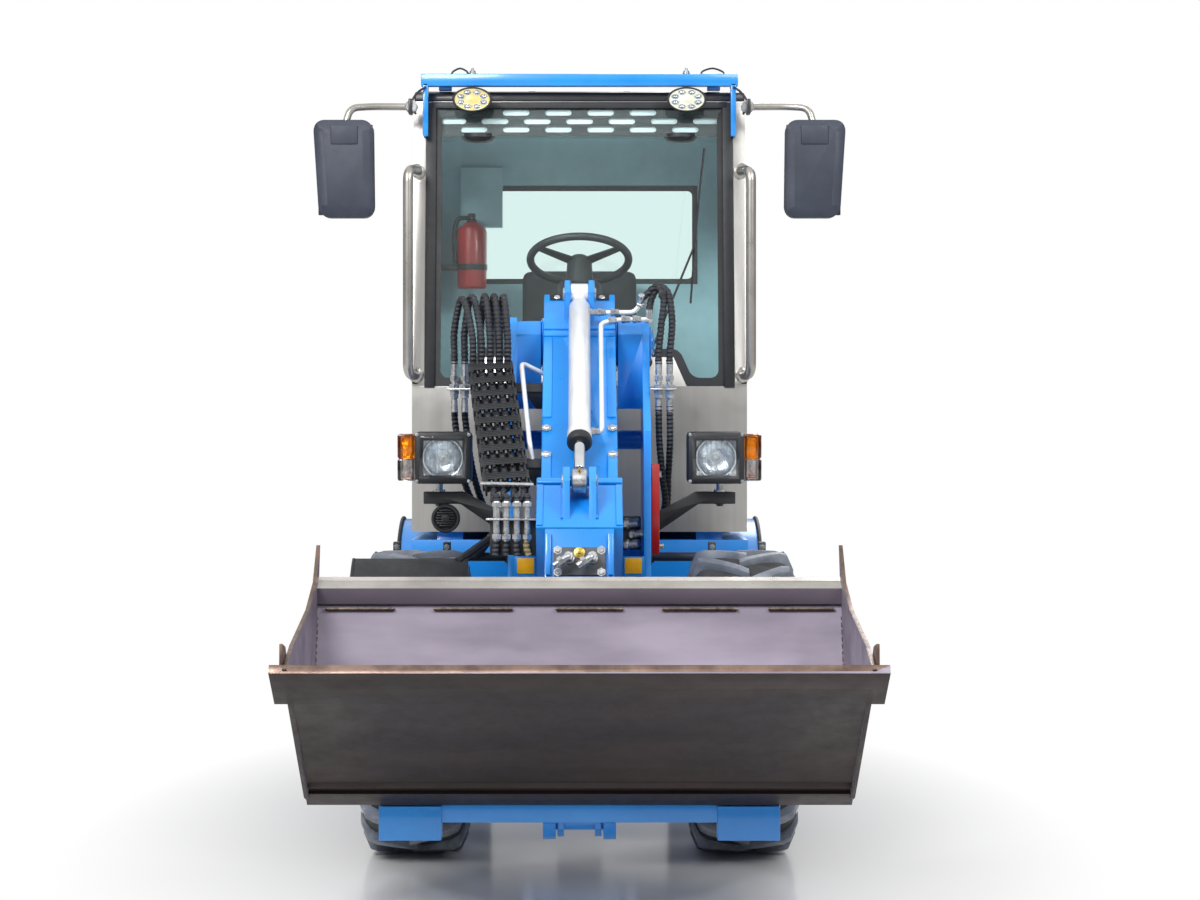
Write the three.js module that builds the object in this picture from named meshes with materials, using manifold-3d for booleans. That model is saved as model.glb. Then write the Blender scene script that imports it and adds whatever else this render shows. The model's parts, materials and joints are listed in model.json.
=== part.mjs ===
// Compact articulated wheel loader with a cab, a telescopic boom and a bucket.
// Millimetres, +Z up, the bucket looks along -Y, the operator's left is +X.
// Everything is laid out from the articulation axis (X 0, Y 0) and moved once, at the end.
import * as THREE from "three";
import Module from "manifold-3d";

const wasm = await Module();
wasm.setup();

// ---------------------------------------------------------------- driving sizes
const GAP = 0.3; // seat gap between touching pieces
const RUN = 0.4; // running clearance round a pin
// A faceted bore clears a faceted pin at every angle.
const turningBore = (radius, sides) => radius / Math.cos(Math.PI / sides) + RUN;
const tyreRadius = 422.5;
const tyreWidth = 290;
const trackHalf = 455; // wheel centre from the middle
const frontAxleY = -820;
const rearAxleY = 820;
const cabHalf = 516;
const cabFrontY = -100;
const cabBackY = 780;
const cabFloorZ = 862;
const cabTopZ = 2236;
const wall = 45; // cab wall and door thickness
const bucketHalf = 674;
const boomSlope = 38; // degrees below level at rest
const boomPivot = [-434, 1435];
const boomHalf = 105;
const boomDepth = 185;
const boomLength = 765; // pivot to the outer tube's mouth
const telescopeStroke = 500;
const towerTopZ = 1511;
const towerPlate = 21;
const towerOuter = 204;
const tailY = 1468;
const originShiftY = 426; // centre of the overall length, seen from the articulation axis

// ---------------------------------------------------------------- shape helpers
const rad = (deg) => (deg * Math.PI) / 180;
const nodes = [];
function solidOf(geometry) {
  const plain = geometry.index ? geometry.toNonIndexed() : geometry.clone();
  const at = plain.getAttribute("position");
  const seen = new Map();
  const points = [];
  const faces = [];
  for (let i = 0; i < at.count; i++) {
    const p = [at.getX(i), at.getY(i), at.getZ(i)];
    const key = p.map((v) => Math.round(v * 1e4)).join(",");
    if (!seen.has(key)) {
      seen.set(key, points.length / 3);
      points.push(...p);
    }
    faces.push(seen.get(key));
  }
  const kept = [];
  for (let i = 0; i < faces.length; i += 3) {
    const [a, b, c] = faces.slice(i, i + 3);
    if (a !== b && b !== c && a !== c) kept.push(a, b, c);
  }
  return new wasm.Manifold(
    new wasm.Mesh({ numProp: 3, vertProperties: new Float32Array(points), triVerts: new Uint32Array(kept) }),
  );
}
function box(x0, x1, y0, y1, z0, z1) {
  const g = new THREE.BoxGeometry(x1 - x0, y1 - y0, z1 - z0);
  g.translate((x0 + x1) / 2, (y0 + y1) / 2, (z0 + z1) / 2);
  return solidOf(g);
}
function outline(points) {
  const shape = new THREE.Shape();
  shape.moveTo(...points[0]);
  for (const p of points.slice(1)) shape.lineTo(...p);
  shape.closePath();
  return shape;
}
// A plate whose outline is drawn in (Y, Z), standing from x0 to x1.
function plateX(points, x0, x1) {
  const g = new THREE.ExtrudeGeometry(outline(points), { depth: x1 - x0, bevelEnabled: false });
  g.applyMatrix4(new THREE.Matrix4().set(0, 0, 1, x0, 1, 0, 0, 0, 0, 1, 0, 0, 0, 0, 0, 1));
  return solidOf(g);
}
// Outline in (X, Z), from y0 to y1.
function plateY(points, y0, y1) {
  const g = new THREE.ExtrudeGeometry(outline(points), { depth: y1 - y0, bevelEnabled: false });
  g.applyMatrix4(new THREE.Matrix4().set(1, 0, 0, 0, 0, 0, -1, y1, 0, 1, 0, 0, 0, 0, 0, 1));
  return solidOf(g);
}
// Outline in (X, Y), from z0 to z1.
function plateZ(points, z0, z1) {
  const g = new THREE.ExtrudeGeometry(outline(points), { depth: z1 - z0, bevelEnabled: false });
  g.translate(0, 0, z0);
  return solidOf(g);
}
// Outline in (X, distance along the boom), from u0 to u1 above the boom's middle line.
function plateUp(points, u0, u1) {
  const [c, s] = [Math.cos(rad(boomSlope)), Math.sin(rad(boomSlope))];
  const g = new THREE.ExtrudeGeometry(outline(points), { depth: u1 - u0, bevelEnabled: false });
  g.applyMatrix4(
    new THREE.Matrix4().set(
      1, 0, 0, 0,
      0, -c, s, boomPivot[0] - u1 * s,
      0, -s, -c, boomPivot[1] + u1 * c,
      0, 0, 0, 1,
    ),
  );
  return solidOf(g);
}
function rod(from, to, radius, sides = 12) {
  const a = new THREE.Vector3(...from);
  const b = new THREE.Vector3(...to);
  const along = b.clone().sub(a);
  const g = new THREE.CylinderGeometry(radius, radius, along.length(), sides);
  g.applyQuaternion(
    new THREE.Quaternion().setFromUnitVectors(new THREE.Vector3(0, 1, 0), along.clone().normalize()),
  );
  const middle = a.add(b).multiplyScalar(0.5);
  g.translate(middle.x, middle.y, middle.z);
  return solidOf(g);
}
const pinX = (x0, x1, y, z, radius, sides = 12) => rod([x0, y, z], [x1, y, z], radius, sides);
function ball(at, radius) {
  const g = new THREE.IcosahedronGeometry(radius, 0);
  g.translate(...at);
  return solidOf(g);
}
// A bent pipe: straight runs with a ball at each bend.
function bentPipe(points, radius, sides = 8) {
  const parts = [];
  for (let i = 0; i + 1 < points.length; i++) parts.push(rod(points[i], points[i + 1], radius, sides));
  for (const p of points.slice(1, -1)) parts.push(ball(p, radius * 1.06));
  return join(...parts);
}
// A smooth hose through its points.
function hose(points, radius, steps = 10) {
  const path = new THREE.CatmullRomCurve3(points.map((p) => new THREE.Vector3(...p)), false, "centripetal");
  const round = new THREE.Shape();
  round.absarc(0, 0, radius, 0, Math.PI * 2, false);
  const g = new THREE.ExtrudeGeometry(round, {
    steps,
    curveSegments: 3,
    extrudePath: path,
    bevelEnabled: false,
  });
  return solidOf(g);
}
function join(first, ...rest) {
  return rest.reduce((sum, next) => sum.add(next), first);
}
function cut(first, ...rest) {
  return rest.reduce((sum, next) => sum.subtract(next), first);
}
function mirrorX(solid) {
  return solid.mirror([1, 0, 0]);
}
const paints = {
  blue: [0x1478c8, 0.45, 0.1],
  steel: [0x6b625c, 0.5, 0.7],
  stainless: [0xa8a298, 0.4, 0.8],
  black: [0x1c1d20, 0.7, 0.0],
  plastic: [0x2b2f38, 0.6, 0.0],
  rubber: [0x24262a, 0.9, 0.0],
  silver: [0xd0d2d4, 0.25, 0.9],
  white: [0xd8dadb, 0.4, 0.2],
  glass: [0x9fc8c4, 0.1, 0.0],
  red: [0xc01818, 0.4, 0.0],
  grey: [0x50555a, 0.6, 0.3],
};
function node(name, solid, paint) {
  const mesh = solid.getMesh();
  const g = new THREE.BufferGeometry();
  g.setAttribute("position", new THREE.BufferAttribute(new Float32Array(mesh.vertProperties), 3));
  g.setIndex(new THREE.BufferAttribute(new Uint32Array(mesh.triVerts), 1));
  g.translate(0, originShiftY, 0);
  g.computeVertexNormals();
  const [color, roughness, metalness] = paints[paint];
  const made = new THREE.Mesh(g, new THREE.MeshStandardMaterial({ color, roughness, metalness }));
  made.name = name;
  nodes.push(made);
}

// ---------------------------------------------------------------- wheels
const wheelSides = 22;
const rimRadius = 194;
const hubBore = 45.9;
const axleStub = 45;
const hubInner = trackHalf - 112; // inner face of the hub
const hubOuter = trackHalf - 60;
function lathe(profile, side, y, sides) {
  const closed = [...profile, profile[0]];
  const g = new THREE.LatheGeometry(closed.map((p) => new THREE.Vector2(...p)), sides);
  // The dish opens outwards on each side.
  g.rotateZ(side > 0 ? -Math.PI / 2 : Math.PI / 2);
  g.translate(side * trackHalf, y, tyreRadius);
  return solidOf(g);
}
const tyreProfile = [
  [rimRadius + 6, -105], [tyreRadius - 150, -tyreWidth / 2], [tyreRadius - 45, -tyreWidth / 2 + 4],
  [tyreRadius - 8, -tyreWidth / 2 + 24], [tyreRadius, -60], [tyreRadius, 60],
  [tyreRadius - 8, tyreWidth / 2 - 24], [tyreRadius - 45, tyreWidth / 2 - 4],
  [tyreRadius - 150, tyreWidth / 2], [rimRadius + 6, 105],
];
const rimOut = rimRadius + 6 - GAP;
const rimProfile = [
  [rimOut, -112], [rimOut, 112], [rimOut - 24, 112], [rimOut - 24, -72], [120, -72], [66, -40],
  [hubBore, -40], [hubBore, -112], [96, -112], [120, -90], [rimOut - 24, -90], [rimOut - 24, -112],
];
for (const [end, y] of [["front", frontAxleY], ["rear", rearAxleY]]) {
  for (const [word, side] of [["left", 1], ["right", -1]]) {
    node(`${end}_${word}_tyre`, lathe(tyreProfile, side, y, wheelSides), "rubber");
    const hubCap = pinX(
      Math.min(side * (trackHalf - 41), side * (trackHalf - 26)),
      Math.max(side * (trackHalf - 41), side * (trackHalf - 26)),
      y,
      tyreRadius,
      64,
      24,
    );
    node(`${end}_${word}_rim`, lathe(rimProfile, side, y, wheelSides).add(hubCap), "grey");
  }
}
const frameLowZ = 500; // underside of the chassis plates over the axles
function axle(y) {
  const z = tyreRadius;
  return join(
    pinX(-hubInner + 6, hubInner - 6, y, z, 58, 16),
    pinX(-trackHalf + 48, trackHalf - 48, y, z, axleStub, wheelSides),
    pinX(-75, 75, y, z, 125, 16),
    pinX(-hubInner + 6, -hubInner + 40, y, z, 88, 16),
    pinX(hubInner - 40, hubInner - 6, y, z, 88, 16),
    box(-204, -150, y - 60, y + 60, z, frameLowZ - GAP),
    box(150, 204, y - 60, y + 60, z, frameLowZ - GAP),
  );
}
node("front_axle", axle(frontAxleY), "black");
node("rear_axle", axle(rearAxleY), "black");

// ---------------------------------------------------------------- rear frame
const pivotPin = 30;
const forkTop = [640, 690];
const forkLow = [300, 350];
const fenderInner = 434;
const fenderOuter = 440;
const cabPadZ = cabFloorZ - GAP;
const rearPlate = [
  [90, 330], [90, 717.5], [1290, 717.5], [1440, 640], [1440, frameLowZ], [600, frameLowZ], [480, 400], [300, 330],
];
const fork = [[-75, -70], [75, -70], [130, 100], [-130, 100]];
const steerBase = [250, 385, 480];
const steerEye = [190, -276, 480];
const wheelArch = (r, x0, x1) => pinX(x0, x1, rearAxleY, tyreRadius, r, 40);
const deck = cut(
  box(-519, 519, -100, 780, 717, 837),
  box(-499, 499, -76, 756, 700, 813),
  wheelArch(fenderOuter + GAP, 290, 620),
  wheelArch(fenderOuter + GAP, -620, -290),
);
const rearFrame = join(
  plateX(rearPlate, 150, 180),
  plateX(rearPlate, -180, -150),
  box(-180, 180, 90, 120, 330, 717.5),
  box(-180, 180, 470, 500, 400, 717.5),
  box(-180, 180, 1400, 1440, frameLowZ, 640),
  deck,
  box(-500, 500, 100, 160, 717, 830),
  box(-290, 290, 560, 620, 717, 830),
  box(-440, -360, -70, 10, 830, cabPadZ),
  box(360, 440, -70, 10, 830, cabPadZ),
  box(-280, -200, 660, 740, 830, cabPadZ),
  box(200, 280, 660, 740, 830, cabPadZ),
  plateZ(fork, ...forkTop),
  plateZ(fork, ...forkLow),
  box(-130, 130, 80, 110, forkLow[0], forkTop[1]),
  box(180, 290, 347, 423, 440, 451),
  box(180, 290, 347, 423, 509, 520),
  rod([steerBase[0], steerBase[1], 445], [steerBase[0], steerBase[1], 515], 15, 16),
);
const pinBore = rod([0, 0, 290], [0, 0, 700], turningBore(pivotPin, 16), 16);
// The steering cylinder swings through a window in the left plate and the front wall.
const steerWindow = box(88, 190, 60, 320, 436, 524);
node("rear_chassis", cut(rearFrame, pinBore, steerWindow), "blue");
const engineMount = 150 - GAP;
node(
  "engine_block",
  join(
    box(-120, 120, 840, 1350, 560, 1010),
    box(-200, 200, 860, 1330, 790, 1090),
    box(-engineMount, engineMount, 900, 960, 600, 690),
    box(-engineMount, engineMount, 1230, 1290, 600, 690),
  ),
  "grey",
);
node(
  "counterweight",
  join(
    plateX([[1440 + GAP, 470], [tailY - 4, 470], [tailY, 520], [tailY, 860], [1440 + GAP, 885]], -480, 480),
    box(305, 480, 1330, 1441, 640, 885),
    box(-480, -305, 1330, 1441, 640, 885),
  ),
  "black",
);
const sideBox = join(
  cut(box(330, 560, 110, 330, 430, 717 - GAP), box(500, 570, 150, 290, 520, 560)),
  box(180 + GAP, 331, 150, 300, 560, 640),
);
node("left_tank", sideBox, "blue");
node("right_battery_box", mirrorX(sideBox), "blue");
// Engine bay walls, shelf and the wheel arches, one welded piece.
const bayFrontY = cabBackY + 12;
const bayTop = 900;
const arches = cut(
  join(wheelArch(fenderOuter, 299, 605), wheelArch(fenderOuter, -605, -299)),
  wheelArch(fenderInner, -620, 620),
  box(-620, 620, 300, 1400, -100, 640),
);
const rearBody = join(
  box(270, 300, bayFrontY, 1325, 640, bayTop),
  box(-300, -270, bayFrontY, 1325, 640, bayTop),
  box(-300, 300, bayFrontY, bayFrontY + 16, 717.5 + GAP, bayTop),
  box(180 + GAP, 272, 1000, 1060, 640, 700),
  box(-272, -180 - GAP, 1000, 1060, 640, 700),
  cut(box(-490, 490, bayFrontY, tailY - 6, bayTop - 14, bayTop), box(-270, 270, bayFrontY + 16, 1380, 880, 905)),
  arches,
);
node("rear_body", rearBody, "blue");
// Hood over the engine, open below and louvred at the back.
const hoodHinge = [cabBackY + 26, 1328];
const hoodTop = 1300;
const hoodOutline = (t) => [
  [bayFrontY + t, bayTop + GAP - t], [tailY - 8 - t, bayTop + GAP - t], [tailY - 8 - t, 1130 - t],
  [tailY - 70 - t, 1250 - t], [bayFrontY + t, hoodTop - t],
];
const louvres = [0, 1, 2, 3, 4].map((i) => box(-260, 260, tailY - 40, tailY, 940 + i * 36, 956 + i * 36));
node(
  "engine_hood",
  cut(
    plateX(hoodOutline(0), -486, 486),
    plateX(hoodOutline(18), -468, 468),
    box(-400, 400, bayFrontY - 5, bayFrontY + 30, 880, 1240),
    ...louvres,
  ).add(pinX(-300, 300, ...hoodHinge, 12, 12)).add(box(-300, 300, hoodHinge[0] - 8, hoodHinge[0] + 8, 1290, 1328)),
  "blue",
);
const hoodKnuckle = cut(
  box(304, 344, cabBackY - 1, hoodHinge[0] + 18, 1308, 1346),
  pinX(300, 350, hoodHinge[0], hoodHinge[1], 12 + RUN, 16),
);

// ---------------------------------------------------------------- cab
const sillZ = 1308; // bottom of the windscreen
const leanBack = 120;
const cabFront = (z) => cabFrontY + (Math.max(0, z - sillZ) * leanBack) / (cabTopZ - sillZ);
const roofZ = 2200;
const cabOutline = (t) => [
  [cabFrontY + t, cabFloorZ + t], [cabFrontY + t, sillZ], [cabFront(roofZ) + t, roofZ + 1],
  [cabBackY - t, roofZ + 1], [cabBackY - t, cabFloorZ + t],
];
const doorHole = (t) => [
  [-30 + t, 940 + t], [-30 + t, sillZ], [75 + t, 2130 - t], [560 - t, 2130 - t], [560 - t, 940 + t],
];
const glassHalf = 455;
const screenTop = 2186;
// The windscreen dips on both sides of a raised middle; t draws the pane inside its opening.
const screenShape = (t) => [
  [-glassHalf + t, sillZ + 2 + t], [-330 - 1.2 * t, sillZ + 2 + t], [-290 - 1.2 * t, 1400 + t],
  [290 + 1.2 * t, 1400 + t], [330 + 1.2 * t, sillZ + 2 + t], [glassHalf - t, sillZ + 2 + t],
  [glassHalf - t, screenTop - t], [-glassHalf + t, screenTop - t],
];
const rearGlass = [[-400, 1660], [400, 1660], [400, 1994], [-400, 1994]];
const shrink = (points, t) => points.map(([x, z]) => [x - Math.sign(x) * t, z + (z > 1700 ? -t : t)]);
const grabRail = bentPipe(
  [[505, -92, 1330], [525, -150, 1345], [525, -150, 1976], [505, -20, 1990]],
  15,
  8,
);
const rollEdge = box(-516, 516, cabBackY - 60, cabBackY, roofZ - 60, roofZ);
const cabShell = join(
  cut(
    plateX(cabOutline(0), -cabHalf, cabHalf),
    plateX(cabOutline(wall), -cabHalf + wall, cabHalf - wall),
    plateX(doorHole(0), cabHalf - wall - 5, cabHalf + 10),
    plateX(doorHole(0), -cabHalf - 10, -cabHalf + wall + 5),
    plateY(screenShape(0), -140, 90),
    plateY(rearGlass, cabBackY - 60, cabBackY + 10),
    box(-600, 600, -200, 900, roofZ, 2300),
  ),
  cut(rollEdge, box(-400, 400, 700, 800, 2100, 2150)),
  box(-400, -260, 690, 740, 1850, 2050),
  grabRail,
  mirrorX(grabRail),
  hoodKnuckle,
  mirrorX(hoodKnuckle),
);
const hingeOut = cabHalf + 14;
const doorHingeY = 548;
const doorKnuckles = [1020, 1960].map((z) => cut(
  join(
    box(cabHalf - 1, hingeOut + 12, doorHingeY + 24, doorHingeY + 50, z, z + 60),
    box(hingeOut - 12, hingeOut + 12, doorHingeY, doorHingeY + 30, z, z + 60),
    rod([hingeOut, doorHingeY, z], [hingeOut, doorHingeY, z + 60], 12, 16),
  ),
  rod([hingeOut, doorHingeY, z - 5], [hingeOut, doorHingeY, z + 65], 7 + RUN, 16),
));
node(
  "cab_frame",
  join(cabShell, ...doorKnuckles, ...doorKnuckles.map(mirrorX)),
  "stainless",
);
node(
  "cab_roof",
  plateX(
    [
      [cabFront(roofZ), roofZ + GAP], [cabFront(cabTopZ), cabTopZ - 8], [60, cabTopZ], [740, cabTopZ],
      [cabBackY, cabTopZ - 20], [cabBackY, roofZ + GAP],
    ],
    -cabHalf,
    cabHalf,
  ),
  "stainless",
);
// Flat pane set in the leaning opening.
const screenLean = (points, depth0, depth1) => {
  const flat = plateY(points, -400, 400);
  return flat.intersect(
    plateX(
      [
        [cabFront(1200) + depth0, 1200], [cabFront(sillZ) + depth0, sillZ],
        [cabFront(2230) + depth0, 2230], [cabFront(2230) + depth1, 2230],
        [cabFront(sillZ) + depth1, sillZ], [cabFront(1200) + depth1, 1200],
      ],
      -600,
      600,
    ),
  );
};
node("windscreen", screenLean(screenShape(GAP), 4, 10), "glass");
const visorShape = [
  [-glassHalf + GAP, 2090], [glassHalf - GAP, 2090], [glassHalf - GAP, screenTop - GAP],
  [-glassHalf + GAP, screenTop - GAP],
];
const slots = [];
for (const [row, z] of [2165, 2138, 2112].entries()) {
  const count = row === 0 ? 4 : row === 1 ? 7 : 6;
  for (let i = 0; i < count; i++) {
    const x = (i - (count - 1) / 2) * 132;
    const round = [];
    for (const [middle, from] of [[x + 33, -90], [x - 33, 90]]) {
      for (let k = 0; k <= 5; k++) {
        round.push([middle + 9 * Math.cos(rad(from + k * 36)), z + 9 * Math.sin(rad(from + k * 36))]);
      }
    }
    slots.push(plateY(round, -60, 90));
  }
}
node(
  "visor_panel",
  cut(
    screenLean(visorShape, 10.5, 16),
    ...slots,
  ),
  "black",
);
node("rear_window", plateY(shrink(rearGlass, GAP), cabBackY - 28, cabBackY - 22), "glass");
// Doors: framed glass, hinged at the back edge on pins outside the wall.
const doorInner = cabHalf - 40;
const doorWindow = [[50, 1180], [50, 1330], [120, 2070], [490, 2070], [490, 1180]];
const doorPins = [1020, 1960].map((z) => join(
  rod([hingeOut, doorHingeY, z - 20], [hingeOut, doorHingeY, z + 80], 7, 16),
  box(hingeOut - 12, hingeOut + 8, doorHingeY - 10, doorHingeY + 8, z - 30, z - 6),
  box(hingeOut - 12, hingeOut + 8, doorHingeY - 10, doorHingeY + 8, z + 66, z + 90),
  box(cabHalf - 10, hingeOut + 8, 480, doorHingeY + 8, z - 30, z - 6),
  box(cabHalf - 10, hingeOut + 8, 480, doorHingeY + 8, z + 66, z + 90),
));
const door = join(
  cut(
    plateX(doorHole(6), doorInner, cabHalf),
    plateX(doorWindow, 400, 600),
    ...[1020, 1960].map((z) => box(cabHalf - 16, cabHalf + 1, 526, 560, z - 5, z + 65)),
  ),
  plateX(doorWindow.map(([y, z]) => [y + (y > 300 ? 3 : -3), z + (z > 1700 ? 3 : -3)]), cabHalf - 26, cabHalf - 20),
  ...doorPins,
  box(cabHalf - 1, cabHalf + 22, 10, 60, 1120, 1150),
);
node("left_door", door, "stainless");
node("right_door", mirrorX(door), "stainless");
const floorTop = cabFloorZ + wall + GAP;
node(
  "operator_seat",
  join(
    box(-230, 230, 330, cabBackY - wall - 8, floorTop, 1290),
    box(-240, 240, 300, 680, 1280, 1420),
    plateX([[640, 1400], [560, 1410], [600, 1650], [618, 1690], [660, 1700], [676, 1680]], -188, 188),
    box(-310, -250, 300, 620, 1360, 1440),
    box(-260, -220, 380, 600, 1300, 1400),
    rod([-280, 330, 1430], [-280, 320, 1540], 14, 10),
  ),
  "black",
);
const wheelTilt = rad(25);
const ring = new THREE.TorusGeometry(156, 13, 6, 16);
ring.rotateX(-wheelTilt);
ring.translate(0, 165, 1713);
const spoke = (deg) => rod(
  [0, 165, 1705],
  [
    156 * Math.cos(rad(deg)),
    165 + 156 * Math.sin(rad(deg)) * Math.cos(wheelTilt),
    1713 - 156 * Math.sin(rad(deg)) * Math.sin(wheelTilt),
  ],
  11,
  8,
);
node(
  "steering_column",
  join(
    solidOf(ring),
    spoke(90),
    spoke(210),
    spoke(330),
    rod([0, 165, 1713], [0, 120, 1600], 42, 16),
    plateX([[0, 1560], [60, 1640], [170, 1640], [170, 1560], [90, floorTop], [-20, floorTop]], -70, 70),
  ),
  "black",
);
node(
  "fire_extinguisher",
  join(
    rod([-360, 689 - 52, 1640], [-360, 689 - 52, 1850], 50, 16),
    rod([-360, 689 - 52, 1845], [-360, 689 - 52, 1890], 18, 10),
    box(-cabHalf + wall + GAP, -395, 625, 650, 1700, 1720),
  ),
  "red",
);
// Blue bar over the roof's front edge with its side brackets and two oval lamps.
const barY = [-40, -4];
const lampDrum = (x) => {
  const g = new THREE.CylinderGeometry(36, 30, 46, 16);
  g.rotateX(Math.PI / 2);
  g.scale(1.68, 1, 1);
  g.translate(x, barY[0] + 2, 2196);
  return solidOf(g);
};
const lampBracket = box(470, 486, barY[0], cabFront(2087) - 0.5, 2087, cabTopZ + 14);
node(
  "roof_lamp_bar",
  cut(
    join(
      box(-492, 492, barY[0], barY[1], cabTopZ + 6, cabTopZ + 44),
      lampBracket,
      mirrorX(lampBracket),
      lampDrum(332),
      lampDrum(-332),
      box(324, 340, -30, -14, 2200, cabTopZ + 14),
      box(-340, -324, -30, -14, 2200, cabTopZ + 14),
      box(-440, 440, barY[0] + 10, 60, cabTopZ + 26, cabTopZ + 36),
      box(-440, -400, 30, 60, cabTopZ + GAP, cabTopZ + 28),
      box(400, 440, 30, 60, cabTopZ + GAP, cabTopZ + 28),
    ),
    box(-600, 600, cabFront(2200) - 1.5, 200, 2080, cabTopZ + GAP),
    plateX([[cabFront(2080) - 0.5, 2080], [cabFront(2230) - 0.5, 2230], [100, 2230], [100, 2080]], -600, 600),
  ),
  "blue",
);
const mirrorHead = plateY(
  [[626, 1868], [648, 1826], [796, 1832], [815, 1860], [812, 2112], [790, 2130], [650, 2126], [626, 2090]],
  -140,
  -75,
);
const mirrorArm = join(
  bentPipe([[cabHalf + 4, 20, 2174], [600, 10, 2174], [690, -105, 2174], [720, -108, 2120]], 12, 6),
  pinX(cabHalf + GAP, cabHalf + 14, 20, 2174, 26, 14),
);
node("left_mirror", join(mirrorHead, mirrorArm), "plastic");
node("right_mirror", mirrorX(join(mirrorHead, mirrorArm)), "plastic");

// ---------------------------------------------------------------- front frame
const barrel = [355, 635];
const towerOutline = [
  [-500, 1490], [-470, towerTopZ], [-390, towerTopZ], [-345, 1470], [-330, 1200], [-310, 720], [-310, 330],
  [-560, 330], [-700, frameLowZ], [-1010, frameLowZ], [-1010, 600], [-760, 760], [-730, 1180], [-600, 1300],
];
const pivotRadius = 35;
const crossTube = [-380, 1150];
const pivotBlock = plateX([[-520, 1242], [-345, 1242], [-345, 1450], [-390, 1500], [-480, 1500], [-520, 1460]], 113, 184);
const frontFrame = join(
  plateX(towerOutline, towerOuter - towerPlate, towerOuter),
  plateX(towerOutline, -towerOuter, -towerOuter + towerPlate),
  pivotBlock,
  mirrorX(pivotBlock),
  pinX(-towerOuter - 12, towerOuter + 12, ...boomPivot, pivotRadius, 16),
  pinX(-190, 190, ...crossTube, 29, 16),
  box(-190, 190, -335, -310, 330, 860),
  box(-190, 190, -1010, -990, frameLowZ, 596),
  box(-190, 190, -560, -335, 330, 346),
  box(-190, 190, -790, -770, 560, 715),
  rod([0, 0, barrel[0]], [0, 0, barrel[1]], 55, 16),
  rod([0, 0, 292], [0, 0, 698], pivotPin, 16),
  box(-50, 50, -320, -20, 400, 590),
  plateZ([[50, -320], [130, -320], [50, -120]], 400, 590),
  plateZ([[-50, -320], [-50, -120], [-130, -320]], 400, 590),
  // steering cylinder's ears
  box(steerEye[0] - 35, steerEye[0] + 35, -312, -240, 440, 451),
  box(steerEye[0] - 35, steerEye[0] + 35, -312, -240, 509, 520),
  rod([steerEye[0], steerEye[1], 432], [steerEye[0], steerEye[1], 451], 15, 16),
  rod([steerEye[0], steerEye[1], 509], [steerEye[0], steerEye[1], 528], 15, 16),
).subtract(box(135, 245, -350, -225, 451.5, 508.5)); // room for the rod's eye as the frames turn
const liftBase = [-600, 400];
const liftEars = plateX([[-560, 340], [-650, 340], [-640, 420], [-600, 445], [-560, 420]], 46, 64);
node(
  "front_chassis",
  join(
    frontFrame,
    liftEars,
    mirrorX(liftEars),
    pinX(-190, 190, ...liftBase, 18, 16),
    box(-190, 190, -660, -556, 330, 346),
  ),
  "blue",
);
const lampArm = plateY(
  [[230, 905], [344, 968], [450, 968], [450, 1004], [336, 1004], [215, 940], [towerOuter + GAP, 940],
    [towerOuter + GAP, 890], [230, 890]],
  -640,
  -618,
);
const lampHousing = join(
  box(309, 472, -720, -600, 1028, 1177),
  box(466, 522, -690, -612, 1034, 1170),
  rod([405, -628, 1000], [405, -650, 1030], 14, 10),
  lampArm,
);
const hornRing = rod([-384, -690, 928], [-384, -622, 928], 41, 16);
node("left_headlamp", lampHousing, "black");
node("right_headlamp", join(mirrorX(lampHousing), hornRing, box(-392, -376, -640, -622, 960, 972)), "black");
const railClamp = (x) => box(x - 10, x + 10, -600, -545, 800, 855);
const fenderRail = join(
  pinX(towerOuter + GAP, 592, -570, 812, 13, 14),
  railClamp(385),
  railClamp(530),
);
const guardArc = [];
for (let i = 0; i <= 8; i++) {
  const a = rad(115 + i * 4.5);
  guardArc.push([frontAxleY + 446 * Math.cos(a), tyreRadius + 446 * Math.sin(a)]);
}
const guardBack = guardArc.map(([y, z]) => [
  frontAxleY + (y - frontAxleY) * 1.014,
  tyreRadius + (z - tyreRadius) * 1.014,
]);
const mudguard = plateX([...guardArc, ...guardBack.reverse()], -620, -305);
node("left_fender_rail", fenderRail, "black");
node(
  "right_fender_rail",
  join(
    mirrorX(fenderRail),
    mudguard,
    bentPipe([[-300, -570, 812], [-250, -640, 880], [-250, -900, 880], [-335, -1024, 824]], 12, 8),
  ),
  "black",
);
node(
  "red_boom_prop",
  plateX([[-740, 828], [-700, 828], [-690, 1085], [-730, 1085]], towerOuter + GAP, 228).subtract(
    pinX(200, 240, -716, 850, 9, 12),
  ),
  "red",
);

// ---------------------------------------------------------------- boom
const slope = rad(boomSlope);
const at = (along, up) => [
  boomPivot[0] - along * Math.cos(slope) - up * Math.sin(slope),
  boomPivot[1] - along * Math.sin(slope) + up * Math.cos(slope),
];
const tube = boomDepth / 2;
const strip = (a0, a1, u0, u1) => [at(a0, u0), at(a1, u0), at(a1, u1), at(a0, u1)];
const lugDrop = 62; // the eye runs clear of the boom as it drifts on its pin
const liftLug = at(376, -tube - lugDrop);
const liftPin = 20;
const lugPlate = plateX(
  [at(250, -tube + 2), at(470, -tube + 2), at(406, -tube - 88), at(376, -tube - 98), at(346, -tube - 88)],
  33,
  53,
);
const extensionUp = tube + 55;
const extensionBase = at(-45, extensionUp);
const basePlate = plateX([at(-95, tube - 2), at(20, tube - 2), at(-10, extensionUp + 34), at(-70, extensionUp + 34)], 26, 44);
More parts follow.
